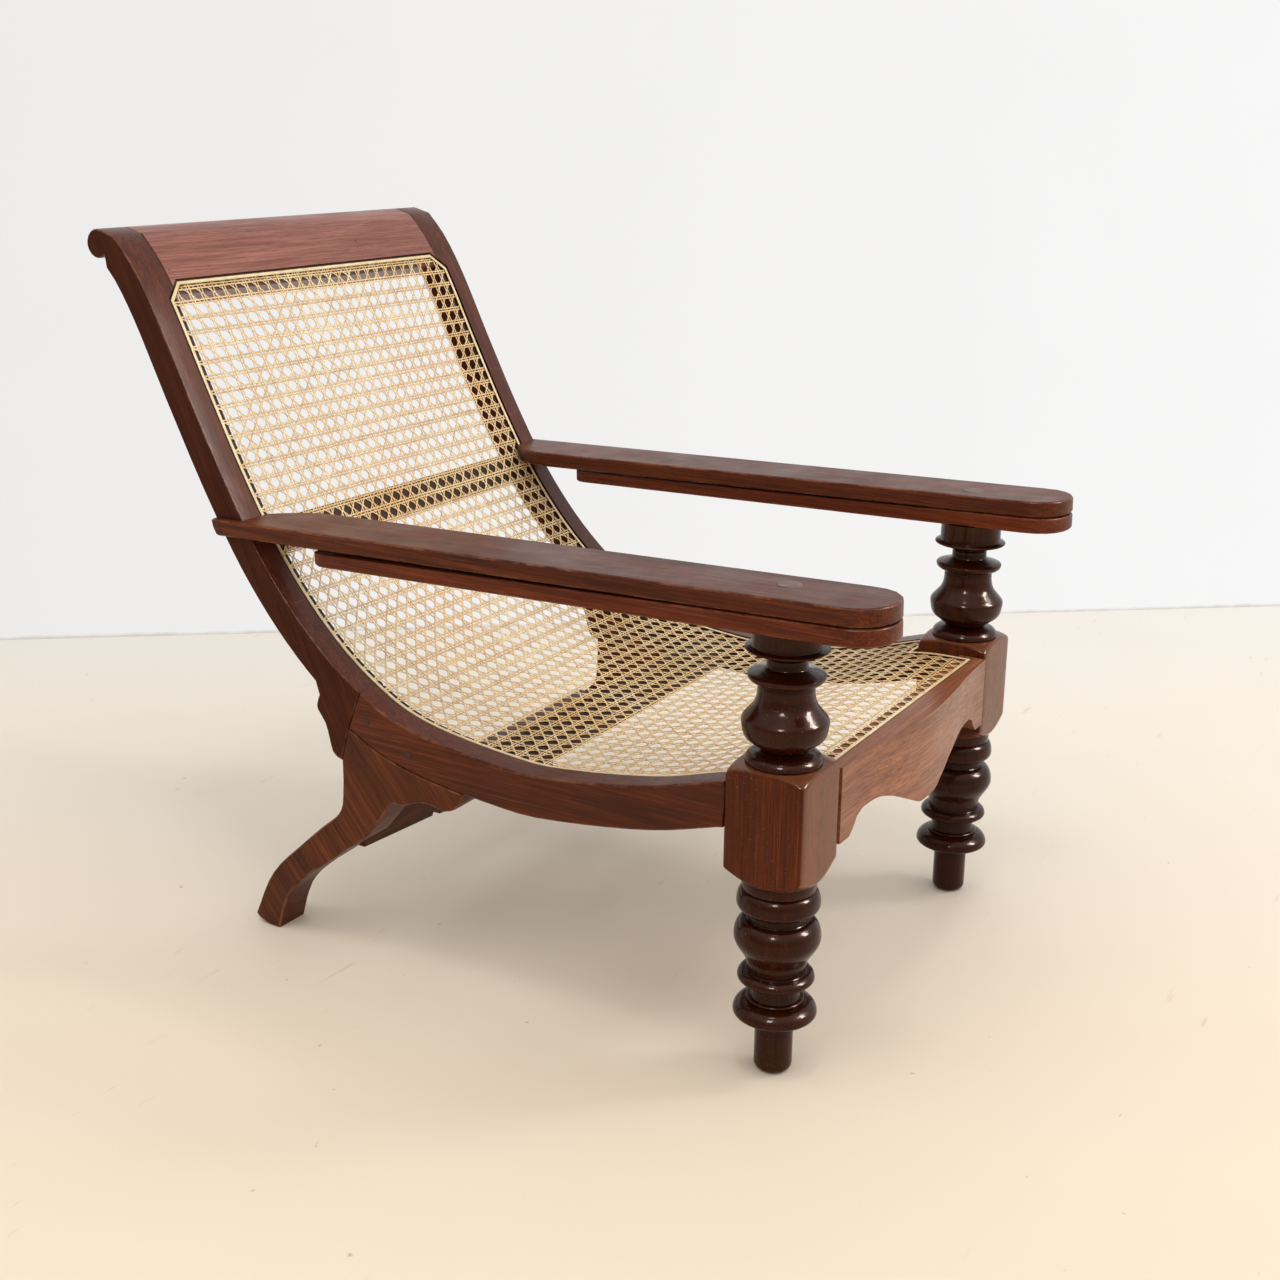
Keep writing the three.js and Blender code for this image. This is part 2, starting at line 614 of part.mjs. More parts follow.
function frontLeg(side) {
  let body = turned(legProfile(), 24).add(legBlock());
  body = body.subtract(solid(aboveSlope(-gap, flange.radius + overrun)));
  const tenon_top = arm_height - arm_thickness / 2;
  const tenon_foot = flange.top;
  const tenon = new THREE.CylinderGeometry(tenon_radius, tenon_radius, tenon_top - tenon_foot, 24);
  body = body.add(solid(tenon.rotateX(Math.PI / 2).translate(0, 0, (tenon_top + tenon_foot) / 2)));
  body = body.translate(side * leg_x, 0, 0);
  const half = tenon_thickness / 2 + tenon_clearance;
  const middle = side * frame_middle;
  body = body.subtract(box(middle - half, middle + half, block_back - tenon_length - tenon_clearance,
    block_back + overrun, rail_tenon.low - tenon_clearance, rail_tenon.high + tenon_clearance));
  body = body.subtract(frontRailTenon(side, tenon_clearance));
  body = body.translate(-side * leg_x, 0, 0);
  const leg = finish(`${sideName(side)}_front_leg`, body, wood_turned);
  leg.position.x = side * leg_x;
  return leg;
}

// Front rail with a bowed face and a shaped lower edge
const front_rail_tenon_shares = { low: 0.35, high: 0.85 };

function frontRailTenon(side, grow = 0) {
  const low = front_rail_top - front_rail_end_depth * front_rail_tenon_shares.high;
  const high = front_rail_top - front_rail_end_depth * front_rail_tenon_shares.low;
  const reach = block_inner + tenon_length;
  const [x0, x1] = [side * (block_inner - 2 * overrun), side * (reach + grow)].sort((a, b) => a - b);
  const back = front_rail_face + tenon_thickness / 2;
  return box(x0, x1, back - grow, back + tenon_thickness + grow, low - grow, high + grow);
}

function frontRail() {
  const half = block_inner - gap;
  const fall = front_rail_drop - front_rail_arch_depth;
  const end_fall = front_rail_end_depth - front_rail_arch_depth;
  const arch = drop_shares.map(([run, drop]) =>
    new THREE.Vector2(run * half, front_rail_top - front_rail_arch_depth - drop * fall));
  const end = bracket_end_shares.map(([run, drop]) =>
    new THREE.Vector2(run * half, front_rail_top - front_rail_arch_depth - drop * end_fall));
  const right = [...eased(arch), ...end];
  const left = right.slice(1).map((point) => new THREE.Vector2(-point.x, point.y)).reverse();
  const elevation = [new THREE.Vector2(half, front_rail_top), new THREE.Vector2(-half, front_rail_top),
    ...left, ...right];
  const deep = front_rail_bow - front_rail_face + front_rail_back;
  const board = extrude(elevation, deep).rotateX(Math.PI / 2).translate(0, front_rail_back, 0);
  const plan = [new THREE.Vector2(half + overrun, front_rail_back + overrun),
    new THREE.Vector2(-half - overrun, front_rail_back + overrun)];
  const bow_steps = 16;
  for (let i = 0; i <= bow_steps; i += 1) {
    const share = (2 * i) / bow_steps - 1;
    const bow = front_rail_bow * Math.cos((Math.PI * share) / 2) ** 2;
    const reach = half + (Math.abs(share) === 1 ? overrun : 0);
    plan.push(new THREE.Vector2(share * reach, front_rail_face - bow));
  }
  const bowed = extrude(plan, 2 * front_rail_drop).translate(0, 0, front_rail_top - 1.5 * front_rail_drop);
  let body = solid(board).intersect(solid(bowed));
  for (const side of [-1, 1]) body = body.add(frontRailTenon(side));
  body = body.subtract(rebate);
  return finish('front_rail', body, wood_light);
}

// Crest rail rolled over like the stiles
function crestRail() {
  const outline = [...stretch(face, crest_low, face_length), ...rolledTop(),
    ...stretch(back_line, crest_low, back_line_end).reverse()];
  const half = frame_inner - gap;
  let body = acrossChair(outline, -half, half, edge_round / 2);
  for (const side of [-1, 1]) body = body.add(crossTenon(crest_joint, 0, side));
  body = body.subtract(rebate);
  return finish('crest_rail', body, wood_light);
}

// A cross rail just under the cane, tenoned into both sides
function crossRail(name, place, width) {
  const half = frame_inner - gap;
  const outline = band(place.centre - width / 2, place.centre + width / 2, rebate_depth,
    rebate_depth + cross_thickness);
  let body = acrossChair(outline, -half, half, edge_round / 2);
  for (const side of [-1, 1]) body = body.add(crossTenon(place, 0, side));
  return finish(name, body, wood_dark);
}

// Shaped stretcher between the rear legs
const stretcher_tenon_shares = { low: 0.3, high: 0.75 };

function stretcherTenon(side, grow = 0) {
  const tall = stretcher_top - stretcher_foot;
  const inset = stretcher_thickness / 4;
  const [x0, x1] = [side * (frame_inner - overrun), side * (frame_inner + tenon_length / 2 + grow)]
    .sort((a, b) => a - b);
  return box(x0, x1, stretcher_face + inset - grow, stretcher_face + stretcher_thickness - inset + grow,
    stretcher_foot + tall * stretcher_tenon_shares.low - grow,
    stretcher_foot + tall * stretcher_tenon_shares.high + grow);
}

function rearStretcher() {
  const half = frame_inner - gap;
  const right = stretcher_shares.map(([run, rise]) =>
    new THREE.Vector2(run * half, stretcher_foot + rise * stretcher_end_rise));
  const left = right.map((point) => new THREE.Vector2(-point.x, point.y)).reverse();
  const outline = [...left, ...right, new THREE.Vector2(half, stretcher_top),
    new THREE.Vector2(-half, stretcher_top)];
  const board = extrude(outline, stretcher_thickness, edge_round / 2).rotateX(Math.PI / 2)
    .translate(0, stretcher_face + stretcher_thickness, 0);
  let body = solid(board);
  for (const side of [-1, 1]) body = body.add(stretcherTenon(side));
  return finish('rear_stretcher', body, wood_dark);
}

// Plan outline of the arm, or of the leg rest under it, about the pivot
function boardOutline(side, inner_tail, outer_tail) {
  const outer = frame_outer + arm_overhang - leg_x;
  const inner = outer - arm_width;
  const nose_steps = 10;
  const points = [];
  for (let i = 0; i <= nose_steps; i += 1) {
    const turn = (Math.PI * i) / nose_steps;
    const bulge = Math.sin(turn) ** 0.8;
    points.push(new THREE.Vector2((outer + inner) / 2 - (arm_width / 2) * Math.cos(turn),
      -(arm_nose_reach - arm_nose_length) - arm_nose_length * bulge));
  }
  return [...points, ...outer_tail(outer), ...inner_tail(inner)]
    .map((point) => new THREE.Vector2(side * point.x, point.y));
}

function armOutline(side) {
  const meets = arm_tail_reach - stile_depth;
  const curve_steps = 6;
  return boardOutline(side, (inner) => {
    const points = [new THREE.Vector2(inner + arm_heel_narrowing, arm_tail_reach)];
    for (let i = curve_steps; i >= 0; i -= 1) {
      const share = i / curve_steps;
      points.push(new THREE.Vector2(inner + arm_heel_narrowing * share * share,
        meets - arm_heel_length + arm_heel_length * share));
    }
    return points;
  }, (outer) => [new THREE.Vector2(outer, arm_tail_reach - arm_overhang / 2),
    new THREE.Vector2(outer - arm_overhang / 4, arm_tail_reach)]);
}

function legRestOutline(side) {
  const corner_steps = 4;
  const rounded = (x, direction) => {
    const points = [];
    for (let i = 0; i <= corner_steps; i += 1) {
      const turn = (Math.PI / 2) * (i / corner_steps);
      points.push(new THREE.Vector2(x + direction * leg_rest_corner * (1 - Math.cos(turn)),
        leg_rest_reach - leg_rest_corner * (1 - Math.sin(turn))));
    }
    return points;
  };
  return boardOutline(side, (inner) => rounded(inner + leg_rest_tip_narrowing, 1).reverse(),
    (outer) => rounded(outer, -1));
}

// The arm sits in a group that slopes with it, so its cuts are brought into that group
function intoSlope(body, side, height) {
  const degrees = THREE.MathUtils.radToDeg(arm_slope);
  return body.translate(-side * leg_x, 0, -height).rotate([degrees, 0, 0]);
}

function arm(side) {
  const height = arm_height - arm_thickness;
  let body = solid(extrude(armOutline(side), arm_thickness, edge_round));
  const fat = stile_depth + 2 * gap;
  const stile_space = band(scarf_top, cane_top, -gap, fat - gap);
  const [x0, x1] = [side * (frame_inner - arm_width), side * (frame_outer + gap)].sort((a, b) => a - b);
  body = body.subtract(intoSlope(acrossChair(stile_space, x0, x1), side, height));
  const behind = band(scarf_top, cane_top, fat / 2, 4 * stile_depth);
  body = body.subtract(intoSlope(acrossChair(behind, x0, x1), side, height));
  const trim = band(scarf_top, cane_top, stile_depth, 4 * stile_depth);
  const outside = side * (frame_outer + 2 * arm_overhang);
  const [x2, x3] = [x0, x1, outside].sort((a, b) => a - b).filter((_, i) => i !== 1);
  body = body.subtract(intoSlope(acrossChair(trim, x2, x3), side, height));
  for (const place of arm_pegs) {
    body = body.subtract(intoSlope(armPeg(side, place, peg_clearance), side, height));
  }
  const bore = new THREE.CylinderGeometry(tenon_radius + tenon_clearance, tenon_radius + tenon_clearance,
    4 * arm_thickness, 24).rotateX(Math.PI / 2);
  body = body.subtract(solid(bore.rotateX(arm_slope)));
  return finish(`${sideName(side)}_arm`, body, wood_light);
}

function legRest(side) {
  const board = extrude(legRestOutline(side), leg_rest_thickness, edge_round);
  board.translate(0, 0, -leg_rest_thickness);
  let body = solid(board);
  // the top falls away from the arm toward the tip
  const fall = Math.atan2(leg_rest_thickness - leg_rest_tip_thickness, leg_rest_reach - leg_rest_corner);
  const shaving = new THREE.BoxGeometry(4 * arm_width, 2 * leg_rest_reach, leg_rest_thickness);
  shaving.translate(0, leg_rest_reach + tenon_radius * 3, leg_rest_thickness / 2).rotateX(-fall);
  body = body.subtract(solid(shaving));
  const bore_radius = tenon_radius + pivot_clearance;
  const bore = new THREE.CylinderGeometry(bore_radius, bore_radius, 4 * leg_rest_thickness, 24);
  body = body.subtract(solid(bore.rotateX(Math.PI / 2)));
  return finish(`${sideName(side)}_leg_rest`, body, wood_dark);
}

function armPlug(side) {
  const top = arm_height + gap;
  const foot = arm_height - plug_depth;
  const disc_shape = new THREE.CylinderGeometry(tenon_radius, tenon_radius, top - foot, 24);
  const plug = solid(disc_shape.rotateX(Math.PI / 2).translate(0, 0, (top + foot) / 2));
  const mesh = finish(`${sideName(side)}_arm_plug`, plug, peg_wood);
  mesh.position.x = side * leg_x;
  return mesh;
}

// Light cane that binds the edge of the weave, as one closed loop
function caneBinding() {
  const lift = rebate_depth - gap - cane_thickness - 2 * gap;
  const line = offsetFace(lift);
  const inset = binding_width / 2 + gap;
  const half = cane_half - inset;
  const narrow = block_inner - cane_block_gap - inset;
  const step = face_length / face_steps;
  const notch = distanceWhere(face, 'x', block_back + cane_block_gap) + inset;
  const cut = cane_corner_cut;
  const along = (x, from, to) => {
    const inner = face.map((_, index) => index * step).filter((s) => s > from + inset && s < to - inset);
    return [from, ...inner, to].map((s) => ({ x, s }));
  };
  const stations = [...along(narrow, inset, notch), ...along(half, notch, cane_top - cut - inset / 2),
    { x: half - cut + inset / 2, s: cane_top - inset }];
  const mirrored = stations.map(({ x, s }) => ({ x: -x, s })).reverse();
  const loop = [...stations, ...mirrored];
  const count = loop.length;
  const corners = loop.map(({ x, s }, index) => {
    const before = loop[(index + count - 1) % count];
    const after = loop[(index + 1) % count];
    const incoming = new THREE.Vector2(x - before.x, s - before.s).normalize();
    const outgoing = new THREE.Vector2(after.x - x, after.s - s).normalize();
    const miter = new THREE.Vector2(incoming.y + outgoing.y, -incoming.x - outgoing.x).normalize();
    const stretchBy = 1 / Math.max(miter.dot(new THREE.Vector2(outgoing.y, -outgoing.x)), 0.5);
    return [1, -1].map((way) => ({
      x: x + (miter.x * way * stretchBy * binding_width) / 2,
      s: s + (miter.y * way * stretchBy * binding_width) / 2,
    }));
  });
  const positions = [];
  const place = ({ x, s }, depth) => {
    const at = Math.min(Math.max(s / step, 0), face_steps - 1e-6);
    const index = Math.floor(at);
    const base = line[index].clone().lerp(line[index + 1], at - index);
    const normal = faceNormal(index).lerp(faceNormal(index + 1), at - index).normalize();
    positions.push(x, base.x + normal.x * depth, base.y + normal.y * depth);
  };
  for (const [outer, inner] of corners) {
    place(outer, 0);
    place(outer, -binding_thickness);
    place(inner, -binding_thickness);
    place(inner, 0);
  }
  const indices = [];
  for (let i = 0; i < count; i += 1) {
    for (let k = 0; k < 4; k += 1) {
      const a = i * 4 + k;
      const b = i * 4 + ((k + 1) % 4);
      const c = ((i + 1) % count) * 4 + k;
      const d = ((i + 1) % count) * 4 + ((k + 1) % 4);
      indices.push(a, c, b, b, c, d);
    }
  }
  const geometry = new THREE.BufferGeometry();
  geometry.setAttribute('position', new THREE.Float32BufferAttribute(positions, 3));
  geometry.setIndex(indices);
  return finish('cane_binding', solid(geometry), binding_finish);
}

// A plain grid of openings, clear of the border
function caneOpenings() {
  const rows = [];
  const columns = [];
  const length = cane_top - 2 * cane_border;
  const width = 2 * (cane_half - cane_border);
  for (let row = 0; row < cane_openings_along; row += 1) {
    const middle = cane_border + ((row + 0.5) * length) / cane_openings_along;
    const reach = (cane_opening_share * length) / cane_openings_along / 2;
    const outline = band(middle - reach, middle + reach, -overrun, rebate_depth);
    rows.push(acrossChair(outline, -cane_half, cane_half));
  }
  for (let column = 0; column < cane_openings_across; column += 1) {
    const middle = ((column + 0.5) / cane_openings_across - 0.5) * width;
    const reach = (cane_opening_share * width) / cane_openings_across / 2;
    columns.push(box(middle - reach, middle + reach, -back_reach, 2 * back_reach, 0, 2 * back_height));
  }
  return wasm.Manifold.union(rows).intersect(wasm.Manifold.union(columns))
    .intersect(caneSheet(-overrun, rebate_depth, -cane_border));
}

function canePanel() {
  const bottom = rebate_depth - gap;
  const sheet = caneSheet(bottom - cane_thickness, bottom, 0);
  return finish('cane_panel', sheet.subtract(caneOpenings()), cane_finish);
}

function sideName(side) {
  return side < 0 ? 'right' : 'left';
}

// Put the chair together
for (const side of [-1, 1]) {
  chair.add(frontLeg(side), stile(side), seatRail(side), rearLeg(side));
  const arm_stack = new THREE.Group();
  arm_stack.position.set(side * leg_x, 0, arm_height - arm_thickness);
  arm_stack.rotation.x = -arm_slope;
  const rest_group = new THREE.Group();
  rest_group.position.z = -arm_gap;
  rest_group.add(legRest(side));
  arm_stack.add(arm(side), rest_group);
  chair.add(arm_stack, armPlug(side));
  chair.add(finish(`${sideName(side)}_scarf_peg`, framePeg(side, scarf_peg), peg_wood));
  chair.add(finish(`${sideName(side)}_leg_peg`, framePeg(side, leg_peg), peg_wood));
  arm_pegs.forEach((place, index) => {
    chair.add(finish(`${sideName(side)}_arm_peg_${index + 1}`, armPeg(side, place), peg_wood));
  });
}
chair.add(frontRail(), crestRail(), rearStretcher());
chair.add(crossRail('lower_back_rail', back_cross, back_cross_width));
chair.add(crossRail('seat_cross_rail', seat_cross, seat_cross_width));
chair.add(canePanel(), caneBinding());

// Centre the chair over the origin, standing on the floor
chair.updateMatrixWorld(true);
const extent = new THREE.Box3().setFromObject(chair, true);
const centre = extent.getCenter(new THREE.Vector3());
chair.position.set(0, -centre.y, -extent.min.z);

export default chair;
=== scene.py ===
"""A planter's chair in dark hardwood with a cane seat and back: the looks.

Metres, +Z up, the sitter faces -Y. "right" is the sitter's right, at -X and nearest the camera.
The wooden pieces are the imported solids, dressed. The turned legs and the weave are made here.
"""
import math
import random

import bmesh
import bpy
import numpy as np
from mathutils import Matrix, Vector


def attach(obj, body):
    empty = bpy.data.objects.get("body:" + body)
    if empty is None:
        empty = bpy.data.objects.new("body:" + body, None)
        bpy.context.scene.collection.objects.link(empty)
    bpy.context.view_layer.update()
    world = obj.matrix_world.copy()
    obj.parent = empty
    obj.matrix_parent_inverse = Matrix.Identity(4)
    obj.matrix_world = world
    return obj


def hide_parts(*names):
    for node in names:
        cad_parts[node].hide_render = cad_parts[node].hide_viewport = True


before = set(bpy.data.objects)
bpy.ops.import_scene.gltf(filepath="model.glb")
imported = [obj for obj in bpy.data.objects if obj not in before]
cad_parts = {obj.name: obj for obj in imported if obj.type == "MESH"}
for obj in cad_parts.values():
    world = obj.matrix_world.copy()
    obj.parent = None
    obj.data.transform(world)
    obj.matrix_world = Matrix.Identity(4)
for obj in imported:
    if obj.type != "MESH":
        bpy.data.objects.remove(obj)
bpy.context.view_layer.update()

MM = 0.001
SIDES = {"right": -1, "left": 1}

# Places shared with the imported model, in millimetres from the axes of the front legs
SHIFT_Y = -461.609              # from the leg axes to the middle of the chair
LEG_X = 298
BLOCK_INNER = 246
BLOCK_HALF = 52
BLOCK_FOOT, BLOCK_TOP = 258, 404
ARM_TOP = 619.5
ARM_THICK = 22.5
REST_THICK = 22
REST_GAP = 1                    # between the arm and the leg rest
ARM_SLOPE = 0.029               # the arms and leg rests rise by this share towards the front
CANE_HALF = 313
CANE_BARE_TOP = 78
CANE_CORNER = 28
CANE_BLOCK_GAP = 3
SEAT_FRONT, SEAT_LOW, BACK_TOP = (-36, 388), (370, 332), (1012, 966)
SEAT_SHARES = [(0.214, 0.054), (0.517, 0.393), (0.786, 0.929), (1, 1)]
BACK_SHARES = [(0.234, 0.032), (0.374, 0.096), (0.498, 0.197), (0.611, 0.331), (0.71, 0.492),
               (0.807, 0.678), (0.888, 0.842), (0.947, 0.94), (1, 1)]


def camera():
    """The photo's camera, as solved from the chair's own edges."""
    azimuth, pitch, roll = -1.03380716, 0.26282477, 0.0133985
    position = (-1.99426, -1.270919, 1.14583)
    level = math.cos(pitch)
    back = Vector((math.sin(azimuth) * level, -math.cos(azimuth) * level, math.sin(pitch)))
    right = Vector((math.cos(azimuth), math.sin(azimuth), 0))
    up = back.cross(right)
    turned_right = math.cos(roll) * right + math.sin(roll) * up
    turned_up = math.cos(roll) * up - math.sin(roll) * right
    data = bpy.data.cameras.new("camera")
    data.lens = 47.790985
    data.sensor_width = 36
    data.shift_y = -0.06
    made = bpy.data.objects.new("camera", data)
    turned = Matrix((turned_right, turned_up, back)).transposed().to_4x4()
    made.matrix_world = Matrix.Translation(position) @ turned
    bpy.context.scene.collection.objects.link(made)
    bpy.context.scene.camera = made


# Node trees
class Nodes:
    """Short calls for making the nodes of one material or world."""

    def __init__(self, owner):
        owner.use_nodes = True
        self.tree = owner.node_tree
        self.tree.nodes.clear()

    def add(self, kind, links=None, **settings):
        node = self.tree.nodes.new(kind)
        for name, value in settings.items():
            setattr(node, name, value)
        for name, value in (links or {}).items():
            socket = node.inputs[name]
            if isinstance(value, bpy.types.NodeSocket):
                self.tree.links.new(value, socket)
            else:
                socket.default_value = value
        return node

    def math(self, operation, *values, clamp=False):
        node = self.add("ShaderNodeMath", dict(enumerate(values)), operation=operation, use_clamp=clamp)
        return node.outputs[0]

    def mix(self, factor, first, second, blend="MIX"):
        node = self.add("ShaderNodeMix", data_type="RGBA", blend_type=blend)
        for index, value in ((0, factor), (6, first), (7, second)):
            if isinstance(value, bpy.types.NodeSocket):
                self.tree.links.new(value, node.inputs[index])
            else:
                node.inputs[index].default_value = value
        return node.outputs[2]

    def spread(self, value, low, high, out_low=0.0, out_high=1.0):
        node = self.add("ShaderNodeMapRange", {"Value": value, "From Min": low, "From Max": high,
                                               "To Min": out_low, "To Max": out_high})
        return node.outputs[0]

    def noise(self, vector, scale, detail=3.0, roughness=0.55, distortion=0.0):
        node = self.add("ShaderNodeTexNoise", {"Vector": vector, "Scale": scale, "Detail": detail,
                                               "Roughness": roughness, "Distortion": distortion})
        return node.outputs[0]

    def output(self, shader, kind="ShaderNodeOutputMaterial"):
        self.add(kind, {"Surface": shader})


def shade(text):
    """A colour written as six hex digits of sRGB, made linear."""
    values = [int(text[i:i + 2], 16) / 255 for i in (0, 2, 4)]
    return (*[v / 12.92 if v <= 0.04045 else ((v + 0.055) / 1.055) ** 2.4 for v in values], 1.0)


GRAINS = {"x": (0, math.pi / 2, 0), "y": (math.pi / 2, 0, 0), "z": (0, 0, 0)}
WORN = shade("8a5a44")
# painted light for the block's faces that look forward and back
BLOCK_LIT_FACES = shade("a06a4a")
TURNED_STAIN = shade("190502")
# dirt and painted shade for the hollows of the turning
GROOVE_DIRT_AND_SHADE = (0.004, 0.0015, 0.001, 1)
# painted shade for the frame beneath the weave
SHADE_BENEATH_CANE = (0.012, 0.005, 0.002, 1)
PORES = (0.012, 0.005, 0.003, 1)
KNOCKS = (0.014, 0.006, 0.004, 1)


def wood(name, grain, dark, light, seed, rough=0.36, coat=0.05, coat_rough=0.16, lean=0.0, figure=1.0,
         level=0.2, tint=(1.0, 0.7, 0.55, 1.0), grooves=False, dull_shaded_sides=False):
    """Old hardwood, from dark to light, with its grain along one axis.

    lean turns the grain in the Y-Z plane, figure is the strength of the rings, and seed moves the pattern.
    level, tint, coat and coat_rough are the shader's own. grooves darkens what a lathe cuts in, as dirt and
    painted shade, and dull_shaded_sides takes the polish from the faces that look to +X and -X and darkens
    them as painted shade.
    """
    made = bpy.data.materials.new(name)
    n = Nodes(made)
    where = n.add("ShaderNodeTexCoord").outputs["Object"]
    place = n.add("ShaderNodeMapping", {"Vector": where, "Rotation": (lean, 0, 0)}).outputs[0]
    along = n.add("ShaderNodeMapping", {"Vector": place, "Rotation": GRAINS[grain],
                                        "Location": (seed * 1.37, seed * 0.71, seed * 2.11)}).outputs[0]

    def stretched(across, length):
        return n.add("ShaderNodeMapping", {"Vector": along, "Scale": (across, across, length)}).outputs[0]

    def sideways():
        """How far a face looks to either side of the chair, 0 to 1."""
        normal = n.add("ShaderNodeTexCoord").outputs["Normal"]
        return n.math("ABSOLUTE", n.add("ShaderNodeSeparateXYZ", {0: normal}).outputs[0])

    cloud = n.noise(stretched(9, 2.2), 1.0, 4, 0.55, 0.4)
    warp = n.noise(stretched(5, 0.9), 1.0, 2)
    bend = n.add("ShaderNodeCombineXYZ", {"X": n.math("MULTIPLY", warp, 9.0),
                                          "Y": n.math("MULTIPLY", cloud, 3.0)}).outputs[0]
    rings_at = n.add("ShaderNodeVectorMath", {0: stretched(34, 1.6), 1: bend}, operation="ADD")
    rings = n.noise(rings_at.outputs[0], 1.0, 3, 0.6)
    fibre = n.noise(stretched(430, 9), 1.0, 4, 0.7)
    streak = n.noise(stretched(150, 5), 1.0, 3, 0.6)
    pores = n.spread(n.noise(stretched(900, 42), 1.0, 1, 0.5), 0.60, 0.74)

    tone = n.math("ADD", n.math("MULTIPLY", n.spread(rings, 0.33, 0.68), 0.42 * figure),
                  n.math("MULTIPLY", n.spread(cloud, 0.3, 0.7), 0.40))
    tone = n.math("ADD", tone, n.math("MULTIPLY", n.spread(streak, 0.34, 0.66), 0.34), clamp=True)
    colour = n.mix(tone, shade(dark), shade(light))
    colour = n.mix(n.math("MULTIPLY", n.spread(fibre, 0.42, 0.62), 0.62), colour, shade(dark))
    colour = n.mix(n.math("MULTIPLY", n.spread(fibre, 0.40, 0.30), 0.22), colour, WORN)
    # painted shade: the frame's faces beneath the weave are darkened
    under = n.add("ShaderNodeAttribute", attribute_name="under").outputs["Fac"]
    colour = n.mix(n.math("MULTIPLY", under, 0.72), colour, SHADE_BENEATH_CANE)
    if grooves:
        # dirt and painted shade: the hollows that the lathe cuts are darkened
        hollow = n.add("ShaderNodeNewGeometry").outputs["Pointiness"]
        colour = n.mix(n.spread(hollow, 0.495, 0.44, 0.0, 0.9), colour, GROOVE_DIRT_AND_SHADE)
        colour = n.mix(n.spread(hollow, 0.53, 0.60, 0.0, 0.35), colour, WORN)
        turned = n.add("ShaderNodeAttribute", attribute_name="turned").outputs["Fac"]
        colour = n.mix(n.math("MULTIPLY", turned, 0.76), colour, TURNED_STAIN)
        # painted light: the square block's faces that look forward and back are lighter, as lit from the
        # front
        facing = n.spread(sideways(), 0.35, 0.85, 0.26, 0.0)
        colour = n.mix(n.math("MULTIPLY", n.math("SUBTRACT", 1.0, turned), facing), colour, BLOCK_LIT_FACES)
    colour = n.mix(n.math("MULTIPLY", pores, 0.55), colour, PORES)

    # rubbed edges, light scratches across the polish, and a few dark knocks
    edge = n.add("ShaderNodeAttribute", attribute_name="edge").outputs["Fac"]
    patch = n.spread(n.noise(where, 26, 4, 0.7), 0.44, 0.64)
    rubbed = n.math("MULTIPLY", edge, patch)
    colour = n.mix(n.math("MULTIPLY", rubbed, 0.6), colour, WORN)
    scratch_at = n.add("ShaderNodeMapping", {"Vector": place, "Rotation": (0.5, 0.8, 0.3),
                                             "Scale": (14, 420, 420), "Location": (seed, 0, 0)}).outputs[0]
    scratch = n.spread(n.noise(scratch_at, 1.0, 1, 0.4), 0.70, 0.76)
    scratch = n.math("MULTIPLY", scratch, n.spread(n.noise(where, 7.0, 2), 0.5, 0.62))
    colour = n.mix(n.math("MULTIPLY", scratch, 0.45), colour, WORN)
    knock = n.spread(n.noise(where, 95, 2, 0.5), 0.735, 0.79)
    colour = n.mix(n.math("MULTIPLY", knock, 0.7), colour, KNOCKS)

    gloss = n.math("ADD", n.math("MULTIPLY", n.spread(fibre, 0.3, 0.7), 0.10),
                   n.math("MULTIPLY", n.spread(n.noise(where, 15, 4, 0.6), 0.3, 0.7), 0.16))
    gloss = n.math("ADD", gloss, n.math("MULTIPLY", scratch, 0.2))
    gloss = n.math("ADD", gloss, rough - 0.12, clamp=True)
    height = n.math("SUBTRACT", n.math("MULTIPLY", fibre, 0.35), n.math("MULTIPLY", pores, 0.5))
    height = n.math("SUBTRACT", height, n.math("MULTIPLY", knock, 2.0))
    height = n.math("SUBTRACT", height, n.math("MULTIPLY", scratch, 0.4))
    height = n.math("ADD", height, n.math("MULTIPLY", n.noise(stretched(60, 6), 1.0, 2), 2.2))
    bump = n.add("ShaderNodeBump", {"Height": height, "Strength": 0.5, "Distance": 0.0002})
    ripple = n.add("ShaderNodeBump", {"Height": n.noise(where, 70, 3, 0.5), "Strength": 0.6,
                                      "Distance": 0.0007})
    if dull_shaded_sides:
        # the faces that look to +X and -X lose their polish, and their colour is darkened as painted shade
        polish = n.spread(sideways(), 0.6, 0.92, 1.0, 0.06)
        coat = n.math("MULTIPLY", polish, coat)
        colour = n.mix(n.math("MULTIPLY", n.math("SUBTRACT", 1.0, polish), 0.55), colour, shade(dark))
    shader = n.add("ShaderNodeBsdfPrincipled", {
        "Base Color": colour, "Roughness": gloss, "Normal": bump.outputs[0], "Specular IOR Level": level,
        "Specular Tint": tint, "Coat Weight": coat, "Coat Roughness": coat_rough,
        "Coat Normal": ripple.outputs[0]})
    n.output(shader.outputs[0])
    return made


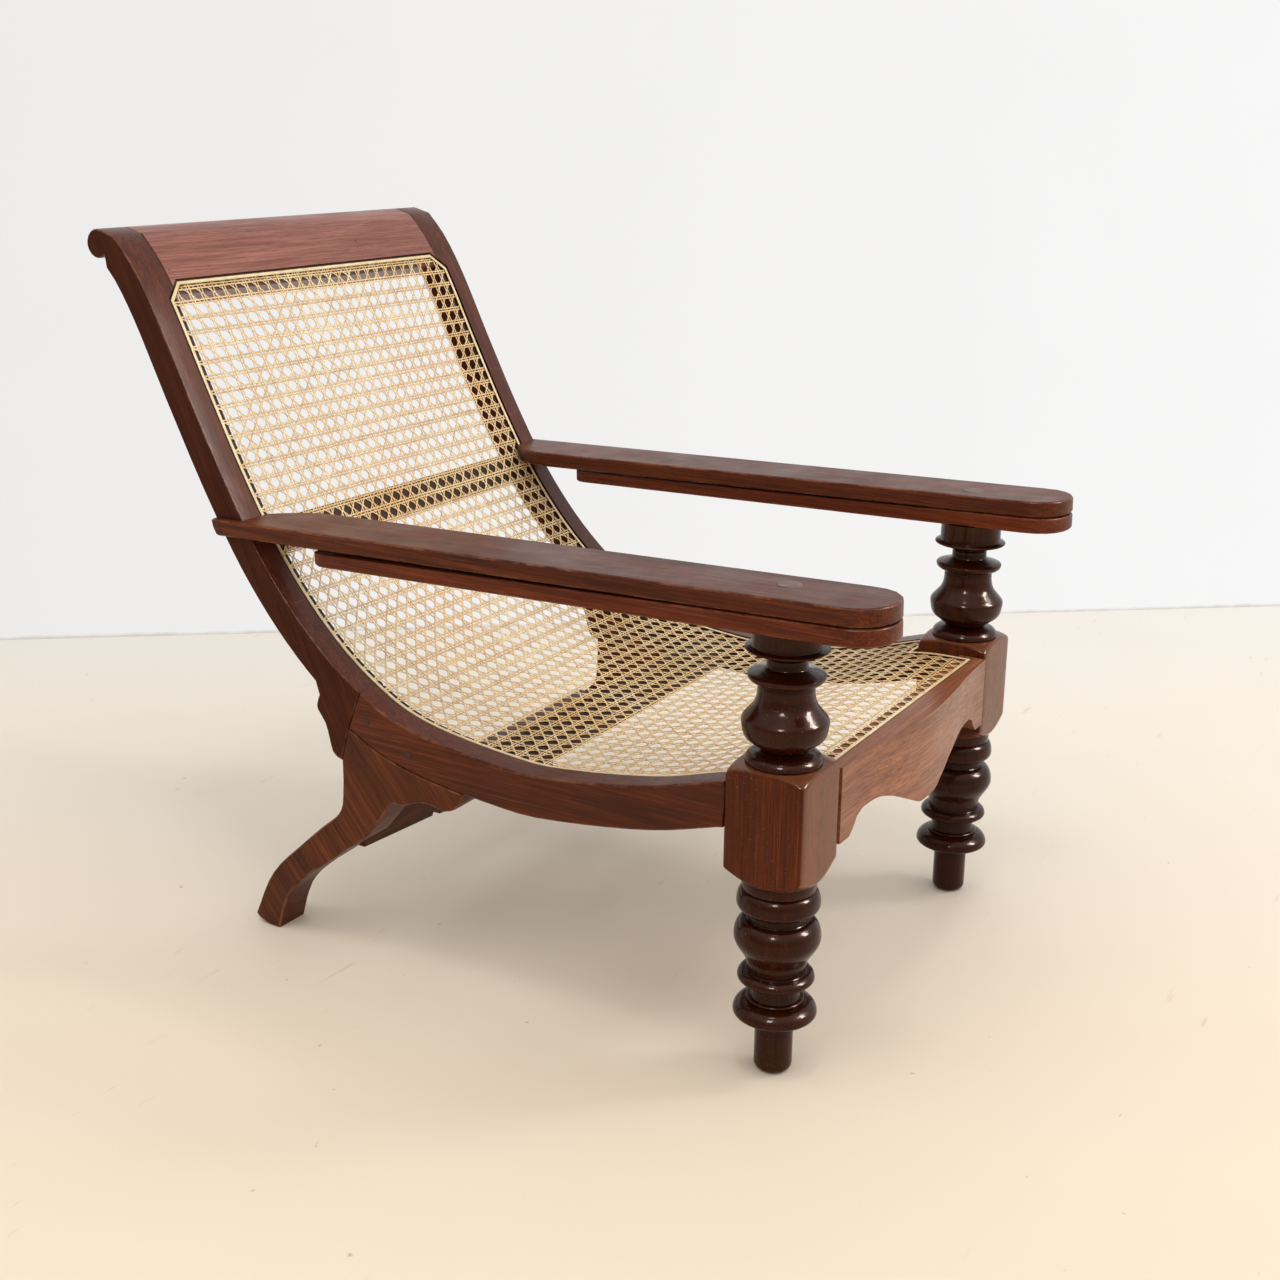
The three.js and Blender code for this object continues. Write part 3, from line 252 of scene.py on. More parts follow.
def end_grain(name, dark, light, seed):
    """The ends of pegs and plugs: rings and radial checks."""
    made = bpy.data.materials.new(name)
    n = Nodes(made)
    where = n.add("ShaderNodeTexCoord").outputs["Object"]
    moved = n.add("ShaderNodeMapping", {"Vector": where,
                                        "Location": (seed, seed * 0.3, seed * 0.7)}).outputs[0]
    rings = n.noise(moved, 420, 3, 0.6, 0.6)
    cloud = n.noise(moved, 70, 3)
    colour = n.mix(n.spread(n.math("ADD", rings, cloud), 0.75, 1.25), shade(dark), shade(light))
    pores = n.spread(n.noise(moved, 1500, 1), 0.6, 0.75)
    colour = n.mix(n.math("MULTIPLY", pores, 0.6), colour, (0.01, 0.006, 0.004, 1))
    bump = n.add("ShaderNodeBump", {"Height": n.math("SUBTRACT", rings, pores), "Strength": 0.4,
                                    "Distance": 0.0003})
    shader = n.add("ShaderNodeBsdfPrincipled", {
        "Base Color": colour, "Roughness": n.spread(rings, 0.3, 0.7, 0.45, 0.68),
        "Normal": bump.outputs[0], "Specular IOR Level": 0.35})
    n.output(shader.outputs[0])
    return made


def cane(name, dark, light, ochre, rough):
    """Split cane: each strand has a tone of its own, with mottling, dark spots, and painted shade along its
    edges.
    """
    made = bpy.data.materials.new(name)
    n = Nodes(made)
    where = n.add("ShaderNodeTexCoord").outputs["Object"]
    tone = n.add("ShaderNodeAttribute", attribute_name="tone").outputs["Fac"]
    cloud = n.noise(where, 5.0, 4, 0.6)
    mottle = n.noise(where, 60.0, 3, 0.6)
    fine = n.noise(where, 900.0, 2, 0.6)
    mixed = n.math("ADD", n.math("MULTIPLY", tone, 0.5), n.math("MULTIPLY", n.spread(mottle, 0.3, 0.7), 0.5))
    colour = n.mix(mixed, shade(dark), shade(light))
    warm = n.math("MULTIPLY", n.spread(cloud, 0.42, 0.68), n.spread(tone, 0.2, 0.9, 0.2, 0.75))
    colour = n.mix(warm, colour, shade(ochre))
    colour = n.mix(n.math("MULTIPLY", n.spread(fine, 0.55, 0.75), 0.22), colour, shade("8e6b3a"))
    spots = n.spread(n.noise(where, 150.0, 1, 0.5), 0.70, 0.76)
    colour = n.mix(n.math("MULTIPLY", spots, 0.6), colour, shade("7c5a30"))
    side = n.add("ShaderNodeAttribute", attribute_name="side").outputs["Fac"]
    # painted shade: the strands' sides and undersides are darker, where they meet their neighbours
    colour = n.mix(n.math("MULTIPLY", n.spread(side, 0.3, 1.0), 0.72), colour, shade("452a12"))
    bump = n.add("ShaderNodeBump", {"Height": n.math("ADD", fine, n.math("MULTIPLY", mottle, 2.0)),
                                    "Strength": 0.35, "Distance": 0.0001})
    shader = n.add("ShaderNodeBsdfPrincipled", {
        "Base Color": colour, "Roughness": n.spread(mottle, 0.3, 0.7, rough - 0.08, rough + 0.1),
        "Normal": bump.outputs[0], "Specular IOR Level": 0.4})
    n.output(shader.outputs[0])
    return made


# Placing pieces
def belongs(piece, body, slot, *replaced):
    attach(piece, body)
    if replaced:
        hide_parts(*replaced)


def new_piece(name, points, faces, material, smooth=True):
    mesh = bpy.data.meshes.new(name)
    mesh.from_pydata([tuple(p) for p in points], [], faces)
    mesh.update()
    mesh.materials.append(material)
    mesh.shade_smooth() if smooth else mesh.shade_flat()
    piece = bpy.data.objects.new(name, mesh)
    bpy.context.scene.collection.objects.link(piece)
    return piece


CHAMFER = 0.0042                # a face narrower than this is an eased edge, in metres
FLAT_WITHIN = math.radians(0.6)
SHARP_FROM = math.radians(50)
UNDER_WEAVE = (1.5, 14)         # depths below the sitter's face, in millimetres


def dressed(node, material):
    """The node's own solid, with its eased edges marked for wear and its faces under the weave marked for
    painted shade.

    The front rail faces the light, so none of its faces is marked for painted shade.
    """
    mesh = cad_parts[node].data.copy()
    mesh.name = f"{node}_dressed"
    work = bmesh.new()
    work.from_mesh(mesh)
    bmesh.ops.remove_doubles(work, verts=work.verts, dist=2e-6)
    bmesh.ops.dissolve_limit(work, angle_limit=FLAT_WITHIN, verts=work.verts, edges=work.edges)
    eased = work.faces.layers.float.new("edge")
    beneath_cane_shade = work.faces.layers.float.new("under")
    for face in work.faces:
        perimeter = sum(edge.calc_length() for edge in face.edges)
        if perimeter > 0 and 2 * face.calc_area() / perimeter < CHAMFER:
            face[eased] = 1.0
        middle = face.calc_center_median() / MM
        depths = np.hypot(FACE[:, 0] - (middle.y - SHIFT_Y), FACE[:, 1] - middle.z)
        nearest = int(depths.argmin())
        in_depth = UNDER_WEAVE[0] < depths[nearest] < UNDER_WEAVE[1]
        # painted shade: faces of the frame that lie beneath the weave are marked to be darkened
        if node != "front_rail" and in_depth and in_sheet(middle.x, FACE_RUN[nearest], -1.0):
            face[beneath_cane_shade] = 1.0
    for edge in work.edges:
        edge.smooth = len(edge.link_faces) == 2 and edge.calc_face_angle(0) < SHARP_FROM
    for face in work.faces:
        face.smooth = True
    work.to_mesh(mesh)
    work.free()
    mesh.materials.clear()
    mesh.materials.append(material)
    piece = bpy.data.objects.new(f"{node}_dressed", mesh)
    bpy.context.scene.collection.objects.link(piece)
    weights = piece.modifiers.new("faces_stay_flat", "WEIGHTED_NORMAL")
    weights.keep_sharp = True
    weights.weight = 90
    return piece


# The face that the sitter meets
def catmull(knots, count):
    """Points spaced evenly along a Catmull-Rom curve through the knots."""
    knots = np.array(knots, float)
    padded = np.vstack([knots[0], knots, knots[-1]])
    fine = []
    for i in range(len(knots) - 1):
        a, b, c, d = padded[i:i + 4]
        for t in np.linspace(0, 1, 40, endpoint=False):
            v0, v1 = (c - a) / 2, (d - b) / 2
            cubic, square = 2 * b - 2 * c + v0 + v1, -3 * b + 3 * c - 2 * v0 - v1
            fine.append(cubic * t ** 3 + square * t ** 2 + v0 * t + b)
    fine = np.array([*fine, knots[-1]])
    run = np.r_[0, np.cumsum(np.hypot(*np.diff(fine, axis=0).T))]
    at = np.linspace(0, run[-1], count)
    return np.c_[np.interp(at, run, fine[:, 0]), np.interp(at, run, fine[:, 1])], run[-1]


def face_knots():
    (y0, z0), (y1, z1), (y2, z2) = SEAT_FRONT, SEAT_LOW, BACK_TOP
    front = [(y1 - run * (y1 - y0), z1 + rise * (z0 - z1)) for run, rise in SEAT_SHARES]
    back = [(y1 + run * (y2 - y1), z1 + rise * (z2 - z1)) for run, rise in BACK_SHARES]
    return [*front[::-1], (y1, z1), *back]


FACE, FACE_LENGTH = catmull(face_knots(), 481)
FACE_RUN = np.linspace(0, FACE_LENGTH, len(FACE))
SLOPE = np.gradient(FACE, axis=0)
SLOPE /= np.linalg.norm(SLOPE, axis=1)[:, None]


def on_face(x, s, depth):
    """World points in metres, from millimetres: x across, s along the face from its front, depth below it."""
    x, s, depth = np.broadcast_arrays(*[np.asarray(value, float) for value in (x, s, depth)])
    y = np.interp(s, FACE_RUN, FACE[:, 0]) + depth * np.interp(s, FACE_RUN, SLOPE[:, 1])
    z = np.interp(s, FACE_RUN, FACE[:, 1]) - depth * np.interp(s, FACE_RUN, SLOPE[:, 0])
    return np.c_[x, y + SHIFT_Y, z] * MM


# Woven cane, in millimetres
COLUMNS = 28
ROWS = 60                       # more than the sheet holds
PITCH_X = 2 * CANE_HALF / COLUMNS
PITCH_S = 22.0
CANE_TOP = FACE_LENGTH - CANE_BARE_TOP
TOP_ROW = 12.8                  # from the highest pair across to the top of the sheet
ROW_ZERO = (CANE_TOP - TOP_ROW) % PITCH_S - PITCH_S
NOTCH_S = float(np.interp(BLOCK_HALF + CANE_BLOCK_GAP, FACE[:, 0], FACE_RUN))
NOTCH_X = BLOCK_INNER - CANE_BLOCK_GAP
WEAVE_DEPTH = 3.1
EDGE_GAP = 3.0                  # dark gap between the weave and the rebate's wall
WEAVE_INSET = EDGE_GAP + 1.2
PAIR_WIDTH, PAIR_GAP = 2.55, 4.1
DIAGONAL_WIDTH = 2.2
STRAND_THICK = 0.62
WANDER, JITTER = 0.3, 0.12      # how far a strand strays from its line, slowly and at each crossing


def in_sheet(x, s, inset):
    """True where a point of the weave lies inside the outline of the sheet."""
    x = np.abs(x)
    inside = (x < CANE_HALF - inset) & (s > inset) & (s < CANE_TOP - inset)
    inside &= (x < NOTCH_X - inset) | (s > NOTCH_S + inset)
    cut = CANE_CORNER + 1.4 * inset     # the top corners are cut at 45 degrees
    return inside & (x + s < CANE_HALF + CANE_TOP - cut)


class Strands:
    """Flat strands of split cane, gathered into one mesh."""

    SECTION = np.array([(-0.5, -0.1), (-0.3, 0.5), (0.3, 0.5), (0.5, -0.1), (0.0, -0.5)])

    def __init__(self):
        self.points, self.faces, self.tones, self.sides = [], [], [], []
        self.count = 0

    def add(self, x, s, lift, width, thick, tone):
        """One strand through the stations x, s, with lift above the middle of the weave."""
        way = np.gradient(np.c_[x, s], axis=0)
        way /= np.linalg.norm(way, axis=1)[:, None]
        side = np.c_[way[:, 1], -way[:, 0]]
        count, corners = len(x), len(self.SECTION)
        at_x = x[:, None] + side[:, :1] * self.SECTION[:, 0] * width
        at_s = s[:, None] + side[:, 1:] * self.SECTION[:, 0] * width
        depth = WEAVE_DEPTH - lift[:, None] - self.SECTION[:, 1] * thick
        self.points.append(on_face(at_x.ravel(), at_s.ravel(), depth.ravel()))
        base = self.count
        row = np.arange(count - 1)[:, None] * corners + np.arange(corners)
        turn = np.arange(count - 1)[:, None] * corners + (np.arange(corners) + 1) % corners
        quads = np.stack([row, row + corners, turn + corners, turn], axis=-1).reshape(-1, 4) + base
        self.faces.extend(quads.tolist())
        self.faces.append([base + k for k in range(corners)])
        self.faces.append([base + (count - 1) * corners + k for k in reversed(range(corners))])
        self.tones.append(np.full(count * corners, tone))
        # marks the corners at each strand's edges and underside, which the cane paints in shade
        self.sides.append(np.tile([1.0, 0.0, 0.0, 1.0, 1.0], count))
        self.count += count * corners

    def piece(self, name, material):
        piece = new_piece(name, np.vstack(self.points), self.faces, material)
        for attribute, values in (("tone", self.tones), ("side", self.sides)):
            layer = piece.data.attributes.new(attribute, "FLOAT", "POINT")
            layer.data.foreach_set("value", np.concatenate(values).astype(np.float32))
        return piece


def runs_inside(x, s, inset):
    """The stretches of a sampled line that lie in the sheet."""
    inside = in_sheet(x, s, inset)
    edges = np.flatnonzero(np.diff(np.r_[0, inside.astype(int), 0]))
    return [(a, b) for a, b in zip(edges[::2], edges[1::2]) if b - a > 2]


def weave(material):
    """Four sets of strands: pairs along the face, pairs across the chair, and two sets of diagonals."""
    rng = random.Random(7)

    def strayed(middle, at, wave, phase):
        """A line that strays round its middle as it runs."""
        slow = WANDER * np.sin(at / wave + phase)
        return middle + slow + np.array([rng.uniform(-JITTER, JITTER) for _ in at])

    # along the face, each pair has one strand below and one above those that cross the chair
    along = Strands()
    offsets = np.array([-7.0, -3.2, 3.2, 7.0, PITCH_S / 2])
    rows = np.arange(-1, ROWS)
    bowed = np.tile([0.55, 1, 1, 0.55, 0], len(rows)) * 0.55
    for column in range(-COLUMNS // 2, COLUMNS // 2 + 1):
        for half in (-1, 1):
            x0 = column * PITCH_X + half * PAIR_GAP / 2
            if abs(x0) > CANE_HALF - WEAVE_INSET - 1:
                continue
            s = (ROW_ZERO + rows[:, None] * PITCH_S + offsets).ravel()
            x = strayed(x0, s, 61, rng.uniform(0, 6))
            for a, b in runs_inside(x, s, WEAVE_INSET):
                along.add(x[a:b], s[a:b], half * bowed[a:b], PAIR_WIDTH * rng.uniform(0.9, 1.06),
                          STRAND_THICK, rng.random())
    across = Strands()
    for row in range(ROWS):
        for half in (-1, 1):
            reach = CANE_HALF - WEAVE_INSET - 0.3
            x = np.clip(np.arange(-CANE_HALF, CANE_HALF + 1, PITCH_X / 2), -reach, reach)
            s = strayed(ROW_ZERO + row * PITCH_S + half * PAIR_GAP / 2, x, 53, rng.uniform(0, 6))
            lift = np.full(len(x), 0.04 * half)
            for a, b in runs_inside(x, s, WEAVE_INSET):
                across.add(x[a:b], s[a:b], lift[a:b], PAIR_WIDTH * rng.uniform(0.9, 1.06),
                           STRAND_THICK, rng.random())

    # the diagonals cross each other over the middles of the pairs, over one and under the next
    slanted = []
    for lean in (1, -1):
        strands = Strands()
        for number in range(-ROWS - 2, ROWS + 2):
            u = np.arange(-COLUMNS / 2 - 0.25, COLUMNS / 2 + 0.26, 0.1)
            x, s = u * PITCH_X, ROW_ZERO + lean * (number + 0.5 - u) * PITCH_S
            lift = 0.62 * np.cos(2 * math.pi * u)
            for a, b in runs_inside(x, s, WEAVE_INSET):
                keep = np.r_[np.arange(a, b - 1, 3), b - 1]
                strands.add(x[keep], s[keep], lift[keep], DIAGONAL_WIDTH * rng.uniform(0.88, 1.06),
                            STRAND_THICK * 0.85, rng.random())
        slanted.append(strands)
    pieces = [along.piece("cane_long_strands", material), across.piece("cane_cross_strands", material),
              slanted[0].piece("cane_slanted_strands_1", material),
              slanted[1].piece("cane_slanted_strands_2", material)]
    for piece in pieces:
        belongs(piece, "frame", "cane", "cane_panel")


def binding(material):
    """The flat strip over the edge of the weave."""
    width, thick, depth = 5.2, 1.15, 1.85
    inset = EDGE_GAP + width / 2
    half, narrow = CANE_HALF - inset, NOTCH_X - inset
    notch, cut = NOTCH_S + inset, CANE_CORNER - 0.59 * inset
    station = 7.0

    def line(x0, s0, x1, s1):
        count = max(int(math.hypot(x1 - x0, s1 - s0) / station), 1)
        share = np.arange(count) / count
        return np.c_[x0 + (x1 - x0) * share, s0 + (s1 - s0) * share]

    top = CANE_TOP - inset
    corners = [(-narrow, inset), (narrow, inset), (narrow, notch), (half, notch), (half, top - cut),
               (half - cut, top), (-half + cut, top), (-half, top - cut), (-half, notch), (-narrow, notch)]
    loop = np.vstack([line(*a, *b) for a, b in zip(corners, corners[1:] + corners[:1])])
    after, before = np.roll(loop, -1, axis=0), np.roll(loop, 1, axis=0)
    first = (loop - before) / np.linalg.norm(loop - before, axis=1)[:, None]
    second = (after - loop) / np.linalg.norm(after - loop, axis=1)[:, None]
    miter = np.c_[first[:, 1] + second[:, 1], -first[:, 0] - second[:, 0]]
    miter /= np.linalg.norm(miter, axis=1)[:, None]
    reach = 1 / np.maximum((miter * np.c_[second[:, 1], -second[:, 0]]).sum(axis=1), 0.5)
    section = np.array([(-0.5, 0.0), (-0.47, 0.55), (-0.25, 0.95), (0.0, 1.05), (0.25, 0.95), (0.47, 0.55),
                        (0.5, 0.0)])
    points, faces, tones = [], [], []
    rng = random.Random(3)
    for place, way, stretch in zip(loop, miter, reach):
        tone = rng.uniform(0.35, 1.0)
        for across, up in section:
            x, s = place + way * stretch * across * width
            points.append(on_face(x, s, depth - up * thick)[0])
            tones.append(tone)
    count, size = len(loop), len(section)
    for i in range(count):
        for k in range(size):
            faces.append([i * size + k, i * size + (k + 1) % size,
                          (i + 1) % count * size + (k + 1) % size, (i + 1) % count * size + k])
    piece = new_piece("cane_edge_strip", points, faces, material)
    layer = piece.data.attributes.new("tone", "FLOAT", "POINT")
    layer.data.foreach_set("value", np.array(tones, np.float32))
    belongs(piece, "frame", "cane_binding", "cane_binding")


# Turned front legs, in millimetres; the points of a profile are (radius, height)
def arc(narrow, wide, steps=9):
    """A quarter ellipse from its narrow end, level there and upright at its wide end."""
    turn = np.linspace(0, math.pi / 2, steps)
    return [(narrow[0] + (wide[0] - narrow[0]) * math.sin(t),
             wide[1] + (narrow[1] - wide[1]) * math.cos(t)) for t in turn]


def bead(start, widest, end, low, radius, high, steps=9):
    """A bead between the heights start and end, from the radius low below it to the radius high above it."""
    lower = arc((low, start), (radius, widest), steps)
    return lower + arc((high, end), (radius, widest), steps)[::-1][1:]


def bulb(start, widest, end, low, radius, high):
    """As a bead, with an S-shaped lower part."""
    lower = [(low + (radius - low) * (1 - math.cos(math.pi * t)) / 2, start + t * (widest - start))
             for t in np.linspace(0, 1, 16, endpoint=False)]
    return lower + arc((high, end), (radius, widest), 12)[::-1]


VASE = [(0, 0.53), (0.1, 0.72), (0.22, 0.93), (0.42, 1), (0.5, 0.985), (0.6, 0.86), (0.7, 0.74),
        (0.8, 0.68), (0.9, 0.655), (1, 0.65)]
VASE_RADIUS, VASE_FOOT, VASE_HEIGHT = 52, 420, 78
COLLAR_RADIUS = 42.7
COLLAR_GAP = 0.3                # between the collar and the leg rest
TENON_RADIUS, TENON_TOP = 15.0, 607

# Degrees from a corner of the block at which the leg is cut, and the heights of the block's rings
FROM_CORNER = [0.25, 0.6, 1.0, 1.5, 2.2, 3.2, 4.6, 6.5, 9, 12, 15.5, 19.5, 24, 28.5, 33, 37.5, 42]
BLOCK_RINGS = [*np.arange(258.2, 277, 0.9), *np.linspace(280, 386, 24), *np.arange(389, 403.9, 0.7), 403.95]


def leg_profile():
    """The turned parts of the leg below its block and above it, up to the collar."""
    vase, _ = catmull([(width * VASE_RADIUS, VASE_FOOT + rise * VASE_HEIGHT) for rise, width in VASE], 28)
    below = [
        *arc((14, 0), (23.7, 9), 6), (23.7, 30), (23.7, 50), (24.2, 69), (25.5, 70.2),
        *bead(70.5, 79.5, 95, 28, 51.7, 34.5, 10),
        *bead(95, 97.3, 99.5, 34, 35.5, 31, 5), (30.4, 101.5), (30.4, 116.5),
        *bead(118.5, 125.7, 135, 31, 47.4, 37.5, 9), (36.9, 135.6), (36.9, 142.4),
        *bulb(143, 180.5, 203.5, 37.2, 53.3, 38.5), (37.8, 204.3), (37.8, 213.3),
        *bead(214, 225, 243, 39, 51.1, 42.5, 10), (41.8, 243.6), (45.2, 244), (45.5, 244.6), (45.5, 257),
    ]
    above = [
        *bead(404, 406, 418, 42, 46.7, 32, 9), (31.2, 418.6), (28.6, 419.4),
        *[tuple(point) for point in vase], (32.8, 499.6), (32.8, 502.4), (34, 503),
        *arc((34, 503), (46.3, 511), 7)[1:], (46.3, 512.5), (45.4, 513.6),
        *[(24.5 + 20.9 * (1 - t) ** 1.7, 513.6 + 8.4 * t) for t in np.linspace(0, 1, 7)][1:], (24.5, 532),
        *[(24.5 + 24.5 * t ** 1.5, 532 + 10.6 * t) for t in np.linspace(0, 1, 7)][1:],
        (50, 543.6), (50, 544.8), (49.2, 545.7), (44.5, 546.8), (43.1, 547.2),
        (COLLAR_RADIUS, 548.2), (COLLAR_RADIUS, 560),
    ]
    return below, above


def block_radius(angle, height):
    """Radius of the block at an angle round the leg: square, with a conical foot and a domed top."""
    squareness, crispness = 44, 26
    foot_radius, cone_height = 49, 18
    top_radius, dome_height = 42, 14
    cos, sin = np.abs(np.cos(angle)), np.abs(np.sin(angle))
    square = BLOCK_HALF / (cos ** squareness + sin ** squareness) ** (1 / squareness)
    corner = BLOCK_HALF * math.sqrt(2)
    if height < (BLOCK_FOOT + BLOCK_TOP) / 2:
        turned = np.interp(height, [BLOCK_FOOT, BLOCK_FOOT + cone_height], [foot_radius, corner])
    else:
        fall = min((BLOCK_TOP - height) / dome_height, 1)
        turned = top_radius + (corner - top_radius) * math.sqrt(1 - (1 - fall) ** 2)
    return (square ** -crispness + turned ** -crispness) ** (-1 / crispness)


def front_leg(side_name, material):
    """The post as rings of points: turned below and above, square in between, with its tenon at the top."""
    quarter = np.r_[-np.array(FROM_CORNER[::-1]), 0, FROM_CORNER]
    angles = np.radians(np.concatenate([45 + 90 * q + quarter for q in range(4)]))
    count = len(angles)
    below, above = leg_profile()
    under_rest = ARM_TOP - ARM_THICK - REST_GAP - REST_THICK - COLLAR_GAP
    points, starts, faces = [], [], []

    def ring(radius, height, slope=0.0):
        starts.append(len(points))
        for angle, r in zip(angles, np.broadcast_to(radius, count)):
            x, y = SIDES[side_name] * LEG_X + r * math.cos(angle), r * math.sin(angle)
            points.append((x * MM, (y + SHIFT_Y) * MM, (height - y * slope) * MM))

    for radius, height in below:
        ring(radius, height)
    for height in BLOCK_RINGS:
        ring(block_radius(angles, height), height)
    for radius, height in above:
        ring(radius, height)
    ring(COLLAR_RADIUS - 0.4, under_rest, ARM_SLOPE)
    ring(TENON_RADIUS, under_rest, ARM_SLOPE)
    ring(TENON_RADIUS, TENON_TOP)
    for low, high in zip(starts, starts[1:]):
        for k in range(count):
            j = (k + 1) % count
            faces.append([low + k, low + j, high + j, high + k])
    faces.append([starts[0] + k for k in reversed(range(count))])
    faces.append([starts[-1] + k for k in range(count)])
    piece = new_piece(f"{side_name}_turned_leg", points, faces, material)
    block_foot, block_top = BLOCK_FOOT * MM, BLOCK_TOP * MM
    layer = piece.data.attributes.new("turned", "FLOAT", "POINT")
    layer.data.foreach_set("value", [0.0 if block_foot < point[2] < block_top else 1.0 for point in points])
    piece.data.set_sharp_from_angle(angle=math.radians(38))
    belongs(piece, "frame", "wood_turned", f"{side_name}_front_leg")


# Stage
FLOOR_REACH = 40.0
WALL_FOOT = Vector((0.33285, 1.740741, 0))
WALL_WAY = Vector((0.62272, -0.78244, 0))
WALL_HALF, WALL_HEIGHT = 7, 6
WALL_SKIRT = 0.016              # the height of the painted shade along the wall's foot
LIT_POINT = Vector((0, -0.1, 0.35))


def floor_paint():
    """A pale floor, warmer near the camera and greyer at the wall, with smudges, specks and scuffs."""
    made = bpy.data.materials.new("floor_paint")
    n = Nodes(made)
    where = n.add("ShaderNodeTexCoord").outputs["Object"]
    axes = n.add("ShaderNodeSeparateXYZ", {0: where}).outputs
    toward = n.math("ADD", n.math("MULTIPLY", axes[0], 0.86), n.math("MULTIPLY", axes[1], 0.51))
    colour = n.mix(n.spread(toward, -1.0, 1.9), shade("e6d7c3"), shade("dfe0df"))
    smudge = n.spread(n.noise(where, 1.6, 4), 0.3, 0.7)
    colour = n.mix(n.math("MULTIPLY", smudge, 0.12), colour, shade("d9c6a6"))
    specks = n.spread(n.noise(where, 38.0, 2, 0.5), 0.745, 0.79)
    colour = n.mix(n.math("MULTIPLY", specks, 0.5), colour, shade("8d7a62"))
    scuffs_at = n.add("ShaderNodeMapping", {"Vector": where, "Rotation": (0, 0, 0.7),
                                            "Scale": (9, 60, 1)}).outputs[0]
    scuffs = n.spread(n.noise(scuffs_at, 1.0, 3), 0.66, 0.74)
    scuffs = n.math("MULTIPLY", scuffs, n.spread(n.noise(where, 2.3, 2), 0.5, 0.6))
    colour = n.mix(n.math("MULTIPLY", scuffs, 0.35), colour, shade("bfa88a"))
    shader = n.add("ShaderNodeBsdfPrincipled", {"Base Color": colour, "Roughness": 0.6,
                                                "Specular IOR Level": 0.15})
    n.output(shader.outputs[0])
    return made


def wall_paint():
    """A pale glow, paler towards the picture's right, with painted shade along its foot; clear from behind.
    """
    made = bpy.data.materials.new("wall_paint")
    n = Nodes(made)
    where = n.add("ShaderNodeTexCoord").outputs["Object"]
    axes = n.add("ShaderNodeSeparateXYZ", {0: where}).outputs
    colour = n.mix(n.spread(axes[0], 0.2, 2.4), shade("ecebea"), shade("fbfafa"))
    # painted shade: a darker line along the foot, where the wall meets the floor
    low = n.math("ADD", axes[2], n.math("MULTIPLY", n.noise(where, 9.0, 4, 0.7), WALL_SKIRT))
    colour = n.mix(n.spread(low, WALL_SKIRT / 2, WALL_SKIRT, 0.55, 0.0), colour, shade("b9aa9a"))
    grain = n.spread(n.noise(where, 3.0, 5), 0.3, 0.7)
    colour = n.mix(n.math("MULTIPLY", grain, 0.05), colour, shade("dcdcdc"))
    glow = n.add("ShaderNodeEmission", {"Color": colour, "Strength": 1.0})
    clear = n.add("ShaderNodeBsdfTransparent")
    behind = n.add("ShaderNodeNewGeometry").outputs["Backfacing"]
    shader = n.add("ShaderNodeMixShader", {0: behind, 1: glow.outputs[0], 2: clear.outputs[0]})
    n.output(shader.outputs[0])
    return made


def lamp(name, direction, distance, size, power, colour, diffuse=True):
    """An area light aimed at the chair; without diffuse it shows only in the polish."""
    data = bpy.data.lights.new(name, "AREA")
    data.shape = "RECTANGLE"
    data.size, data.size_y = size
    data.energy, data.color = power, colour
    made = bpy.data.objects.new(name, data)
    made.location = LIT_POINT + Vector(direction).normalized() * distance
    made.rotation_euler = (LIT_POINT - made.location).to_track_quat("-Z", "Y").to_euler()
    made.visible_camera = False
    made.visible_diffuse = diffuse
    bpy.context.scene.collection.objects.link(made)


def room():
    """The light of the rest of the room; rays straight from the camera see a plain pale tone."""
    world = bpy.data.worlds.new("room")
    bpy.context.scene.world = world
    n = Nodes(world)
    way = n.add("ShaderNodeTexCoord").outputs["Generated"]
    bright_side = n.add("ShaderNodeVectorMath", {0: way, 1: (0.80, -0.45, 0)}, operation="DOT_PRODUCT")
    rise = n.add("ShaderNodeSeparateXYZ", {0: way}).outputs[2]
    walls = n.mix(n.spread(bright_side.outputs["Value"], -0.5, 0.8), shade("a0978b"), shade("ded8cf"))
    colour = n.mix(n.spread(rise, 0.22, 0.75), walls, shade("fff9f0"))
    glow = n.add("ShaderNodeBackground", {"Color": colour, "Strength": 1.40})
    pale = n.add("ShaderNodeBackground", {"Color": shade("ecebea"), "Strength": 1.0})
    seen = n.add("ShaderNodeLightPath").outputs["Is Camera Ray"]
    both = n.add("ShaderNodeMixShader", {0: seen, 1: glow.outputs[0], 2: pale.outputs[0]})
    n.output(both.outputs[0], "ShaderNodeOutputWorld")


def stage():
    """Pale floor and wall; daylight from above and from a window in front, to the sitter's left."""
    reach = FLOOR_REACH
    corners = [(-reach, -reach, 0), (reach, -reach, 0), (reach, reach, 0), (-reach, reach, 0)]
    floor = new_piece("floor", corners, [(0, 1, 2, 3)], floor_paint())
    first, last = WALL_FOOT - WALL_WAY * WALL_HALF, WALL_FOOT + WALL_WAY * WALL_HALF
    tall = Vector((0, 0, WALL_HEIGHT))
    wall = new_piece("wall", [first, last, last + tall, first + tall], [(0, 1, 2, 3)], wall_paint())
    lamp("skylight", (-0.3, -0.10, 1.0), 7.0, (0.9, 1.1), 38, (1.0, 0.99, 0.98))
    lamp("window", (0.60, -0.80, 0.86), 6.0, (0.95, 1.25), 58, (1.0, 0.985, 0.97))
    lamp("window_glint", (0.36, -0.93, 0.62), 4.5, (1.0, 1.6), 300, (1.0, 0.98, 0.97), diffuse=False)
    lamp("far_glint", (-0.96, -0.30, 0.80), 4.5, (0.7, 1.1), 100, (0.96, 0.97, 1.0), diffuse=False)
    room()


camera()
stage()

